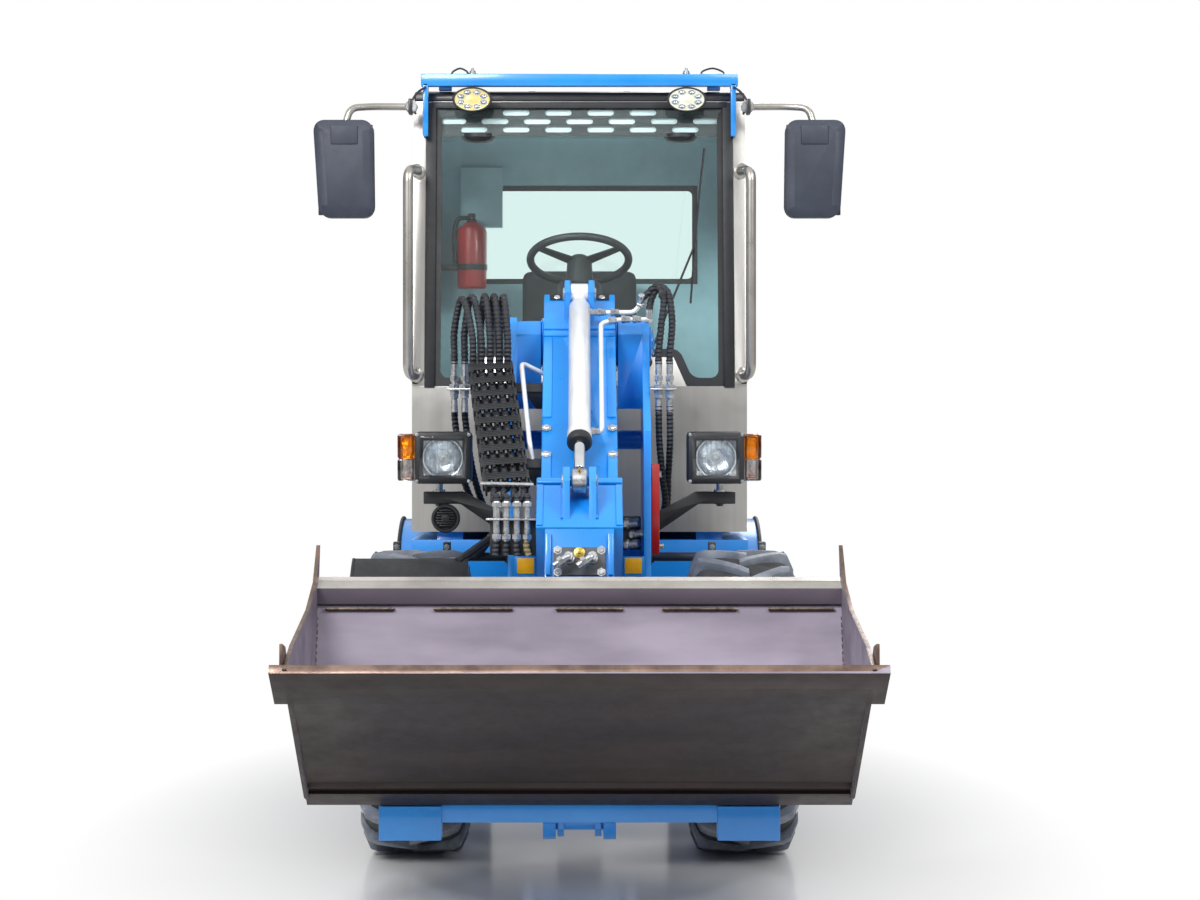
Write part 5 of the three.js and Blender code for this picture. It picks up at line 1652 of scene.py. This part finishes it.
# %% Cable domes and grab rails
for word, x in (("left", 316), ("right", -316)):
    turned(
        f"{word}_cable_dome", here(x, glass_line(2096) + 34, 2100), here(x, glass_line(2096) + 34, 2050),
        [(0, 0.050), (0.012, 0.052), (0.022, 0.044), (0.026, 0.030)], "rear_frame", "black_plastic", sides=32,
    )
for side, word in ((1, "left"), (-1, "right")):
    pipe(
        f"{word}_grab_rail",
        rounded_path([
            here(side * 500, -72, 1976), here(side * 525, -150, 1976), here(side * 525, -150, 1345),
            here(side * 500, -80, 1345),
        ], 0.055, 10), 0.0155, "rear_frame", "rail_steel", sides=6,
    )
    for k, z in enumerate((1976, 1345)):
        turned(
            f"{word}_rail_rose_{k}", here(side * 503, glass_line(z) + 2, z),
            here(side * 512, glass_line(z) - 30, z),
            [(0, 0.024), (0.004, 0.024), (0.007, 0.019)], "rear_frame", "rail_steel",
        )
print("rails")

# %% [markdown]
# ## Driver's place
# The wheel is a torus ring with three flat spokes to a domed hub on a raked column. The seat is a
# crowned cushion and a back with rolled edges; only its top shows from outside.

# %% Steering wheel and column
hub = here(0, 165, 1700)
tilt = math.radians(-25)
nothing_selected()
bpy.ops.mesh.primitive_torus_add(
    major_radius=0.156, minor_radius=0.0125, major_segments=64, minor_segments=14,
    location=here(0, 165, 1713),
    rotation=(tilt, 0, 0),
)
bpy.ops.object.transform_apply(location=True, rotation=True, scale=True)
bpy.ops.object.mode_set(mode="EDIT")
bpy.ops.mesh.select_all(action="SELECT")
bpy.ops.mesh.normals_make_consistent(inside=False)
bpy.ops.object.mode_set(mode="OBJECT")
close("steering_wheel_ring", "rear_frame", "black_plastic", 60, ("steering_column",))
for k, angle in enumerate((90, 210, 330)):
    a = math.radians(angle)
    out = Vector((math.cos(a), math.sin(a) * math.cos(tilt), math.sin(a) * math.sin(tilt)))
    across = Vector((-math.sin(a), math.cos(a) * math.cos(tilt), math.cos(a) * math.sin(tilt)))
    inner, outer = hub + out * 0.02, here(0, 165, 1713) + out * 0.156
    plate(
        f"wheel_spoke_{k}", [
            inner + across * 0.022, outer + across * 0.013, outer - across * 0.013, inner - across * 0.022
        ],
        out.cross(across) * 0.007, "rear_frame", "black_plastic", 0.003,
    )
up = Vector((0, 0.42, 0.907))
turned(
    "wheel_hub", hub - up * 0.025, hub + up * 0.05,
    [(0, 0.034), (0.020, 0.040), (0.036, 0.038), (0.046, 0.028), (0.050, 0.012)], "rear_frame",
    "black_plastic",
)
plate(
    "steering_console",
    [here(-68, y, z) for y, z in [(0, 1560), (60, 1640), (168, 1640), (172, 1560), (92, 910), (-18, 910)]],
    Vector((0.136, 0, 0)), "rear_frame", "black_plastic", 0.014,
)
turned("column_sleeve", here(0, 112, 1590), here(0, 165, 1713), [(0, 0.052), (0.05, 0.044), (0.11, 0.040)],
       "rear_frame", "black_plastic")
print("wheel and console")


# %% Seat
def cushion(name, low, high, crown, bulge_axis):
    nothing_selected()
    middle = (low + high) / 2
    size = high - low
    bpy.ops.mesh.primitive_cube_add(size=1, location=middle, scale=size)
    bpy.ops.object.transform_apply(location=True, rotation=True, scale=True)
    bpy.ops.object.mode_set(mode="EDIT")
    bpy.ops.mesh.select_all(action="SELECT")
    bpy.ops.mesh.subdivide(number_cuts=6)
    bpy.ops.object.mode_set(mode="OBJECT")
    piece = bpy.context.object
    for vertex in piece.data.vertices:
        t = [(vertex.co[i] - middle[i]) / (size[i] / 2) for i in range(3)]
        others = [i for i in range(3) if i != bulge_axis]
        edge = max(abs(t[others[0]]), abs(t[others[1]]))
        vertex.co[bulge_axis] += t[bulge_axis] * crown * (1 - edge ** 2) - t[bulge_axis] * 0.014 * edge ** 6
        pull = 0.012 * (1 - abs(t[bulge_axis])) - 0.010 * abs(t[bulge_axis]) ** 4
        for i in others:
            vertex.co[i] += t[i] * abs(t[i]) ** 3 * pull
    soft = piece.modifiers.new("soft", "SUBSURF")
    soft.levels = 2
    soft.render_levels = 2
    bpy.ops.object.modifier_apply(modifier=soft.name)
    finished = close(name, "rear_frame", "seat_cloth", 60)
    return finished


base_cushion = cushion("seat_cushion", here(-228, 308, 1300), here(228, 640, 1408), 0.012, 2)
cushion("seat_back", here(-180, 585, 1412), here(180, 668, 1688), 0.010, 1)
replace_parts(base_cushion, "operator_seat")
for x0, x1, y0, y1, z0, z1, name in [
    (-228, 228, 332, 724, 908, 1276, "seat_base_box"), (-238, 238, 304, 676, 1276, 1300, "seat_pan"),
    (-308, -252, 304, 616, 1362, 1438, "arm_pod"), (-262, -222, 384, 596, 1302, 1398, "arm_bracket"),
    (-150, 150, 668, 676, 1420, 1660, "seat_back_shell"),
]:
    slab(name, here(x0, y0, z0), here(x1, y1, z1), "rear_frame", "black_plastic", 0.010)
turned(
    "drive_lever", here(-280, 330, 1436), here(-280, 322, 1540),
    [
        (0, 0.018), (0.008, 0.010), (0.050, 0.007), (0.060, 0.013), (0.085, 0.016), (0.100, 0.012),
        (0.103, 0.004)
    ],
    "rear_frame", "black_plastic",
)
print("seat")

# %% Fire extinguisher
turned(
    "extinguisher_bottle", here(-360, 637, 1640), here(-360, 637, 1900),
    [(0, 0.044), (0.006, 0.049), (0.190, 0.050), (0.205, 0.044), (0.216, 0.026), (0.222, 0.020)],
    "rear_frame", "red_paint", sides=36, stands_for=("fire_extinguisher",),
)
turned(
    "extinguisher_valve", here(-360, 637, 1860), here(-360, 637, 1900),
    [(0, 0.016), (0.010, 0.018), (0.014, 0.012), (0.030, 0.012), (0.032, 0.009)], "rear_frame",
    "black_plastic",
)
pipe(
    "extinguisher_hose",
    hanging_path(
        [here(-372, 625, 1876), here(-408, 618, 1868), here(-418, 616, 1800), here(-414, 620, 1720)], 0.01
    ),
    0.008, "rear_frame", "black_plastic", sides=3,
)
slab("extinguisher_band", here(-470, 625, 1700), here(-400, 650, 1720), "rear_frame", "black_paint", 0.002)
turned(
    "extinguisher_strap", here(-360, 637, 1702), here(-360, 637, 1730),
    [(0, 0.0505), (0.001, 0.0515), (0.019, 0.0515),
                                                                      (0.020, 0.0505)], "rear_frame",
                                                                          "black_paint",
    sides=36,
)
print("extinguisher")

# %% [markdown]
# ## Wheels
# The tyre is one closed section carried round its axle: bead, sidewall, shoulder and crown. The tread is a
# block that is subdivided and bent to run from the crown's middle over the shoulder; its curved twin faces
# the other way half a pitch on, and the pair is copied round.

# %% Tyre carcass
AXLE_Z = 422.5
WHEELS = [
    (word, end, side * 455, y) for end, y in (("front", -820), ("rear", 820)) for word,
    side in (("left", 1), ("right", -1))
]
SECTION = [
    (0.038, 0.201), (0.024, 0.214), (0.012, 0.228), (0.008, 0.231), (0.008, 0.236), (0.002, 0.262),
    (0.0, 0.300),
    (0.003, 0.340), (0.006, 0.344), (0.006, 0.352), (0.014, 0.374), (0.026, 0.390), (0.042, 0.398),
    (0.090, 0.4035),
    (0.145, 0.405),
]
SECTION = SECTION + [
    (0.290 - d, r) for d, r in reversed(SECTION[:-1])
] + [(0.248, 0.199), (0.042, 0.199), (0.038, 0.201)]
inboard = here(455 - 145, -820, AXLE_Z)
outboard = here(455 + 145, -820, AXLE_Z)
tyre = turned(
    "front_left_tyre_body", inboard, outboard, SECTION, "front_left_wheel", "tyre_rubber", sides=96,
    ring=True,
    smooth=50, stands_for=("front_left_tyre",),
)
print("tyre faces", len(tyre.data.polygons))

# %% One lug, then the tread
axle_middle = here(455, -820, AXLE_Z)
LUGS = 20


def lug(side):
    nothing_selected()
    bpy.ops.mesh.primitive_cube_add(size=1, location=(0, 0, 0))
    piece = bpy.context.object
    bpy.ops.object.mode_set(mode="EDIT")
    bpy.ops.mesh.select_all(action="DESELECT")
    bpy.ops.object.mode_set(mode="OBJECT")
    for edge in piece.data.edges:
        a, b = (piece.data.vertices[v].co for v in edge.vertices)
        edge.select = abs(a.x - b.x) > 0.5
    bpy.ops.object.mode_set(mode="EDIT")
    bpy.ops.mesh.subdivide(number_cuts=6)
    bpy.ops.object.mode_set(mode="OBJECT")
    for vertex in piece.data.vertices:
        t = vertex.co.x + 0.5
        across = -0.012 + 0.160 * t
        lead = 0.25 * (t ** 0.85)
        width = (0.036 + 0.014 * t) / 0.41
        top = vertex.co.z > 0
        if top:
            width *= 0.74
        turn = lead + vertex.co.y * width
        if t < 0.80:
            outer = 0.4222
        else:
            outer = 0.4222 - 0.050 * ((t - 0.80) / 0.20) ** 1.6
        inner = 0.395 if t < 0.80 else 0.395 - 0.050 * ((t - 0.80) / 0.20)
        radius = outer if top else inner
        across = min(across, 0.1445)
        vertex.co = Vector((side * across, radius * math.sin(turn), radius * math.cos(turn)))
    bpy.ops.object.mode_set(mode="EDIT")
    bpy.ops.mesh.select_all(action="SELECT")
    bpy.ops.mesh.normals_make_consistent(inside=False)
    bpy.ops.object.mode_set(mode="OBJECT")
    break_edges(0.003, 2, 35)
    # The lugs take the lighter blue-grey rubber, a painted highlight.
    return close(f"lug_{side}", "front_left_wheel", "tread_rubber", 40)


lugs = []
for side in (1, -1):
    first_lug = lug(side)
    turns = []
    for i in range(LUGS):
        angle = math.tau * (i + (0.5 if side < 0 else 0)) / LUGS
        turns.append(Matrix.Translation(axle_middle) @ Matrix.Rotation(angle, 4, "X"))
    lugs += copies(first_lug, turns, "front_left_wheel", "lug")
    bpy.data.objects.remove(first_lug)
tread = joined(lugs, "front_left_tread")
print("tread faces", len(tread.data.polygons))

# %% [markdown]
# The rim is a deep pressed dish with a rolled flange on both sides and a ring of wheel nuts round
# the axle's planet hub.

# %% Rim, nuts and hub
rim = turned(
    "front_left_rim_dish", here(455 - 128, -820, AXLE_Z), outboard,
    [(0.0, 0.190), (0.0, 0.200), (0.004, 0.209), (0.010, 0.209), (0.014, 0.199), (0.040, 0.1985),
        (0.060, 0.186), (0.196, 0.186),
     (0.216, 0.1985), (0.242, 0.199), (0.246, 0.209), (0.252, 0.209), (0.256, 0.200), (0.256, 0.190),
     (0.240, 0.188),
     (0.214, 0.186), (0.196, 0.176), (0.160, 0.172), (0.126, 0.160), (0.108, 0.128), (0.108, 0.060),
     (0.098, 0.060),
     (0.098, 0.132), (0.114, 0.166), (0.118, 0.176), (0.060, 0.176), (0.030, 0.188), (0.0, 0.190)],
    "front_left_wheel", "rim_paint", sides=72, ring=True, smooth=40, stands_for=("front_left_rim",),
)
hub_piece = turned(
    "front_left_hub", here(455 - 60, -820, AXLE_Z), outboard,
    [(0, 0.060), (0.020, 0.078), (0.040, 0.082), (0.060, 0.080), (0.064, 0.066), (0.078, 0.062),
        (0.082, 0.040),
     (0.094, 0.038), (0.097, 0.030)],
    "front_left_wheel", "cast_grey", sides=48,
)
nuts = []
for i in range(8):
    a = math.tau * i / 8
    place = here(455 - 20, -820, AXLE_Z) + Vector((0, 0.104 * math.cos(a), 0.104 * math.sin(a)))
    nuts.append(bolt_head(f"wheel_nut_{i}", place, Vector((1, 0, 0)), 0.0135, "front_left_wheel", tall=1.1))
for i in range(6):
    a = math.tau * (i + 0.5) / 6
    place = here(455 + 4, -820, AXLE_Z) + Vector((0, 0.070 * math.cos(a), 0.070 * math.sin(a)))
    nuts.append(bolt_head(f"hub_bolt_{i}", place, Vector((1, 0, 0)), 0.007, "front_left_wheel"))
valve = turned(
    "valve_stem", here(455 + 60, -820, AXLE_Z) + Vector((0, 0.150, 0)),
    here(455 + 110, -820, AXLE_Z) + Vector((0, 0.138, 0)),
    [(0, 0.007), (0.012, 0.005), (0.038, 0.004), (0.044, 0.0045), (0.048, 0.003)], "front_left_wheel",
    "black_plastic",
    sides=12,
)
nut_set = joined(nuts, "front_left_wheel_nuts")
valve.name = "front_left_valve"
wheel_parts = [tyre, tread, rim, hub_piece, nut_set, valve]
to_axle = Matrix.Translation(-axle_middle)
for word, end, x, y in WHEELS:
    if (word, end) == ("left", "front"):
        continue
    flip = Matrix.Scale(-1, 4, (1, 0, 0)) if x < 0 else Matrix.Identity(4)
    place = Matrix.Translation(here(x, y, AXLE_Z)) @ flip @ to_axle
    body = f"{end}_{word}_wheel"
    made = []
    for piece in wheel_parts:
        twin = copies(piece, [place], body, "part")[0]
        twin.name = piece.name.replace("front_left", f"{end}_{word}")
        if "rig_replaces" in twin:
            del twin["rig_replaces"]
        made.append(twin)
    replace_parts(made[0], f"{end}_{word}_tyre")
    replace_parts(made[2], f"{end}_{word}_rim")
print("wheels", len(WHEELS))

# %% [markdown]
# ## Between the tower plates
# Valve fittings, the blank yellow plates beside the knee, the heads of the big pins and the pins that turn in
# the cylinder eyes. Each pin rides with the piece whose eye it fills.

# %% Pins, valve fittings and blank plates
for side, word in ((-1, "right"), (1, "left")):
    way = Vector((side, 0, 0))
    turned(
        f"boom_pivot_cap_{word}", here(side * 204.5, -434, 1435), here(side * 260, -434, 1435),
        [(0, 0.050), (0.006, 0.050), (0.0075, 0.048), (0.0075, 0.034), (0.014, 0.034), (0.016, 0.031)],
        "front_frame", "blue_paint", sides=36,
    )
    joined([
        bolt_head(f"pivot_cap_bolt_{word}_{k}", here(
            side * 212, -434 + 41 * math.cos(k * math.pi / 2 + 0.6),
            1435 + 41 * math.sin(k * math.pi / 2 + 0.6)
        ), way, 0.006, "front_frame") for k in range(4)
    ], f"pivot_cap_bolts_{word}")
    joined([
        bolt_head(f"tower_bolt_{word}_{k}", here(side * 205, y, z), way, 0.010, "front_frame")
        for k, (y, z) in enumerate(
            [(-380, 1150), (-690, 700), (-690, 560), (-940, 560), (-360, 420), (-360, 760)]
        )
    ], f"tower_bolts_{word}")
    plate(
        f"yellow_blank_{word}",
        [
            here(side * 128, -812, 778), here(side * 176, -812, 778), here(side * 176, -812, 822),
            here(side * 128, -812, 822)
        ],
        Vector((0, -0.002, 0)), "front_frame", "yellow_plate", 0.0008,
    )
    slab(f"yellow_tab_{word}", *(
        (here(side * 124 if side > 0 else -183, -811, 770), here(183 if side > 0 else -124, -805, 826))
    ), "front_frame", "blue_paint", 0.001)
    x0, x1 = sorted((side * 150, side * 160))
    slab(f"yellow_arm_{word}", here(x0, -806, 690), here(x1, -788, 778), "front_frame", "blue_paint", 0.001)
turned("lift_eye_pin", on_boom(-27, 376, -154.5), on_boom(27, 376, -154.5), [(0, 0.0185), (0.054, 0.0185)],
       "lift_rod_body", "zinc", sides=24)
turned(
    "tilt_eye_pin", here(-27, -1549.04, 409.88), here(27, -1549.04, 409.88), [(0, 0.0165), (0.054, 0.0165)],
    "tilt_rod_body", "zinc", sides=24,
)
turned("steering_eye_pin", here(190, -276, 455), here(190, -276, 505), [(0, 0.0135), (0.050, 0.0135)],
       "steering_rod_body", "zinc", sides=24)
fittings = []
for k, (x, y, z) in enumerate([(150, -700, 915), (166, -706, 885), (150, -712, 856)]):
    fittings += fitting(
        f"valve_fitting_{k}", here(x, y, z), Vector((1, -0.5, 0.15)), "front_frame", 0.046, 0.015
    )
joined(fittings, "valve_fittings")
slab("valve_block", here(108, -690, 838), here(176, -640, 934), "front_frame", "cast_grey", 0.004)
turned("prop_pin", here(222, -716, 850), here(260, -716, 850), [
    (0, 0.016), (0.006, 0.016), (0.006, 0.0085), (0.018, 0.0085)
],
       "front_frame", "zinc", sides=20)
bolt_head("prop_bolt", here(228, -712, 1055), Vector((1, 0, 0)), 0.010, "front_frame")
print("pins, fittings and plates")

# %% [markdown]
# ## Rails, mudguard and steps
# The rail over each front wheel is a dark tube with an end cap and two clamps; the right one also carries a
# curved mudguard with a rolled edge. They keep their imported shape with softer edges.

# %% Rails and mudguard
for side, word in ((-1, "right"), (1, "left")):
    rounded(f"{word}_fender_rail", 0.0015, "mirror_plastic" if side > 0 else "black_plastic", sharper_than=40)
    turned(f"rail_cap_{word}", here(side * 588, -570, 812), here(side * 640, -570, 812),
           [(0, 0.0152), (0.006, 0.0152), (0.008, 0.013)], "front_frame", "black_plastic", sides=28)
    turned(f"rail_collar_{word}", here(side * 204.5, -570, 812), here(side * 240, -570, 812),
           [(0, 0.026), (0.006, 0.026), (0.007, 0.018), (0.012, 0.018)], "front_frame", "black_paint",
           sides=28)
    joined([
        bolt_head(
            f"rail_clamp_bolt_{word}_{x}", here(side * x, -600, 842), TOWARD_BUCKET, 0.006, "front_frame"
        )
        for x in (385, 530)
    ], f"rail_clamp_bolts_{word}")
edge_arc = [
    here(
        -620, -820 + 449 * math.cos(math.radians(115 + i * 2.25)),
        422.5 + 449 * math.sin(math.radians(115 + i * 2.25))
    )
    for i in range(17)
]
pipe("mudguard_rolled_edge", edge_arc, 0.005, "front_frame", "black_plastic")
print("rails and mudguard")

# %% Tank, battery box and their steps
for side, word in ((-1, "right"), (1, "left")):
    x0, x1 = sorted((side * 502, side * 559))
    slab(f"step_tread_{word}", here(x0, 152, 520.2), here(x1, 288, 524), "rear_frame", "black_plastic", 0.001)
    joined([
        slab(f"step_rib_{word}_{k}", here(x0 + 3, 158 + k * 18, 524), here(x1 - 3, 164 + k * 18, 527),
            "rear_frame",
             "black_plastic", 0.0008) for k in range(8)
    ], f"step_ribs_{word}")
    joined([
        bolt_head(f"box_bolt_{word}_{k}", here(side * 560, y, z), Vector((side, 0, 0)), 0.008, "rear_frame")
        for k, (y, z) in enumerate([(124, 446), (316, 446), (124, 698), (316, 698)])
    ], f"box_bolts_{word}")
turned("tank_filler_neck", here(560, 220, 640), here(600, 220, 640), [(0, 0.034), (0.006, 0.034), (0.010, 0.028)],
       "rear_frame", "black_plastic", sides=32)
turned("tank_filler_cap", here(568, 220, 640), here(600, 220, 640),
       [(0, 0.036), (0.002, 0.038), (0.016, 0.038), (0.019, 0.034), (0.019, 0.012), (0.022, 0.010)],
       "rear_frame", "black_plastic", sides=14, smooth=20)
slab("battery_lid", here(-566, 132, 600), here(-559.5, 308, 692), "rear_frame", "black_plastic", 0.003)
for k, y in enumerate((170, 270)):
    slab(f"battery_latch_{k}", here(-573, y - 12, 590), here(-560, y + 12, 622), "rear_frame", "zinc", 0.002)
print("boxes and steps")

# %% [markdown]
# ## Doors and glass seals
# A black rubber profile runs round every pane and every door, and each door has a black handle with a plated key
# barrel. The hinge leaves carry two bolts each.


# %% Seals, handles and hinges
def seal(name, corners, radius, body, bend=0.03):
    first, last = corners[0], corners[-1]
    start = first.lerp(last, 0.5)
    return pipe(
        name, rounded_path([start] + corners + [start], bend, 5), radius, body, "black_plastic", sides=2
    )


for side, word in ((-1, "right"), (1, "left")):
    body = f"{word}_door_body"
    window = [(50, 1180), (50, 1330), (120, 2070), (490, 2070), (490, 1180)]
    seal(f"{word}_door_window_seal", [here(side * 515.5, y, z) for y, z in window], 0.0065, body, 0.035)
    hole = [(-27, 943), (-27, 1308), (77.5, 2127), (557, 2127), (557, 943)]
    seal(f"{word}_door_seal", [here(side * 507, y, z) for y, z in hole], 0.0026, "rear_frame", 0.004)
    x0, x1 = sorted((side * 516, side * 518.5))
    slab(f"{word}_handle_plate", here(x0, -4, 1092), here(x1, 78, 1166), body, "black_plastic", 0.001)
    x0, x1 = sorted((side * 519, side * 540))
    slab(f"{word}_handle_pull", here(x0, 6, 1116), here(x1, 66, 1154), body, "black_plastic", 0.006)
    turned(f"{word}_key_barrel", here(side * 518, 60, 1102), here(side * 540, 60, 1102),
           [(0, 0.009), (0.004, 0.009), (0.006, 0.007)], body, "chrome", sides=20)
    x0, x1 = sorted((side * 516, side * 517.5))
    slab(f"{word}_kick_plate", here(x0, 20, 965), here(x1, 470, 1050), body, "rail_steel", 0.0006)
    joined([
        bolt_head(
            f"{word}_hinge_bolt_{z}_{k}", here(side * 538, 500, z + dz), Vector((side, 0, 0)), 0.005, body
        )
        for z in (1020, 1960) for k, dz in enumerate((-18, 78))
    ], f"{word}_hinge_bolts")
rear_hole = [(-400, 1660), (400, 1660), (400, 1994), (-400, 1994)]
seal("rear_window_seal", [here(x, 780, z) for x, z in rear_hole], 0.008, "rear_frame", 0.03)
for k, x in enumerate((-150, 150)):
    slab(
        f"roof_rib_{k}", here(x - 12, 110, 2236), here(x + 12, 700, 2243), "rear_frame", "black_paint", 0.003
    )
for side, word in ((-1, "right"), (1, "left")):
    x0, x1 = sorted((side * 508, side * 519))
    slab(f"roof_gutter_{word}", here(x0, 60, 2196), here(x1, 776, 2208), "rear_frame", "black_plastic", 0.002)
print("seals and handles")

# %% [markdown]
# ## Engine hood and the back of the machine
# The hood's rear wall has five louvres with black fins behind them, a latch and rubber stops. Tail lamps,
# reflectors and a hitch plate sit on the weight, whose casting skin stays a little rough.

# %% Hood, lamps and hitch
for k in range(5):
    z = 940 + k * 36
    corners = [here(-259, y, zz) for y, zz in [(1459, z - 3), (1457, z - 5), (1436, z + 14), (1438, z + 16)]]
    plate(f"hood_fin_{k}", corners, Vector((0.518, 0, 0)), "hood_body", "black_paint", 0.0005)
slab("hood_latch_plate", here(-46, 1459.5, 1134), here(46, 1462, 1166), "hood_body", "black_plastic", 0.001)
turned("hood_latch", here(0, 1461, 1150), here(0, 1500, 1150), [
    (0, 0.016), (0.004, 0.016), (0.006, 0.013), (0.006, 0.006)
],
       "hood_body", "black_plastic", sides=24)
for side, word in ((-1, "right"), (1, "left")):
    fins = []
    for k in range(9):
        x0, x1 = sorted((side * 485, side * 489))
        fins.append(slab(
            f"hood_side_fin_{word}_{k}", here(x0, 960, 960 + k * 26), here(x1, 1250, 972 + k * 26),
            "hood_body", "black_paint", 0.0015,
        ))
    joined(fins, f"hood_side_fins_{word}")
    x0, x1 = sorted((side * 470, side * 484))
    slab(
        f"hood_stop_{word}", here(x0, 1430, 901), here(x1, 1448, 904.6), "rear_frame", "black_plastic", 0.001
    )
    x0, x1 = sorted((side * 372, side * 462))
    slab(
        f"tail_lamp_case_{word}", here(x0, 1464, 772), here(x1, 1473, 838), "rear_frame", "black_plastic",
        0.003
    )
    for tone, a, b, part in (
        ("red_lens", 376, 414, "stop"), ("amber_lens", 416, 438, "turn"), ("clear_lens", 440, 458, "reverse")
    ):
        x0, x1 = sorted((side * a, side * b))
        slab(f"tail_{part}_{word}", here(x0, 1472, 777), here(x1, 1477, 833), "rear_frame", tone, 0.002)
    turned(f"rear_reflector_{word}", here(side * 300, 1467, 805), here(side * 300, 1480, 805),
           [(0, 0.026), (0.004, 0.026), (0.006, 0.022)], "rear_frame", "red_lens", sides=32)
    arc = [
        here(side * 601, 820 + 443 * math.cos(a), 422.5 + 443 * math.sin(a))
        for a in [math.radians(32 + 4.5 * i) for i in range(27)]
    ]
    pipe(f"arch_edging_{word}", arc, 0.006, "rear_frame", "black_plastic")
slab("hitch_plate", here(-80, 1467, 600), here(80, 1473, 740), "rear_frame", "black_paint", 0.003)
turned("hitch_eye", here(0, 1472, 670), here(0, 1500, 670), [
    (0, 0.046), (0.005, 0.044), (0.006, 0.030), (0.001, 0.029)
],
       "rear_frame", "cast_grey", sides=32)
joined([
    bolt_head(f"hitch_bolt_{k}", here(x, 1472, z), Vector((0, 1, 0)), 0.008, "rear_frame", tall=0.4)
    for k, (x, z) in enumerate([(-62, 618), (62, 618), (-62, 722), (62, 722)])
], "hitch_bolts")
print("hood and rear lamps")

# %% [markdown]
# Two oil hoses cross the articulation pin under the cab. They hang in a shallow sag between the two frames
# and ride on no body.

# %% Hoses across the articulation
for k, x in enumerate((-44, 44)):
    run = hose(f"frame_hose_{k + 1}", [
        here(x, -313, 800), here(x, -290, 800), here(x, -240, 790), here(x, -180, 784), here(x, -120, 796),
        here(x, -98, 797),
    ], 0.0105, None)
    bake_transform(run)
    joined(fitting(f"frame_hose_front_{k + 1}", here(x, -298, 800), Vector((0, -1, 0)), "front_frame", 0.040),
           f"frame_hose_front_{k + 1}")
    joined(fitting(f"frame_hose_rear_{k + 1}", here(x, -112, 797), Vector((0, 1, 0)), "rear_frame", 0.036),
           f"frame_hose_rear_{k + 1}")
print("frame hoses")
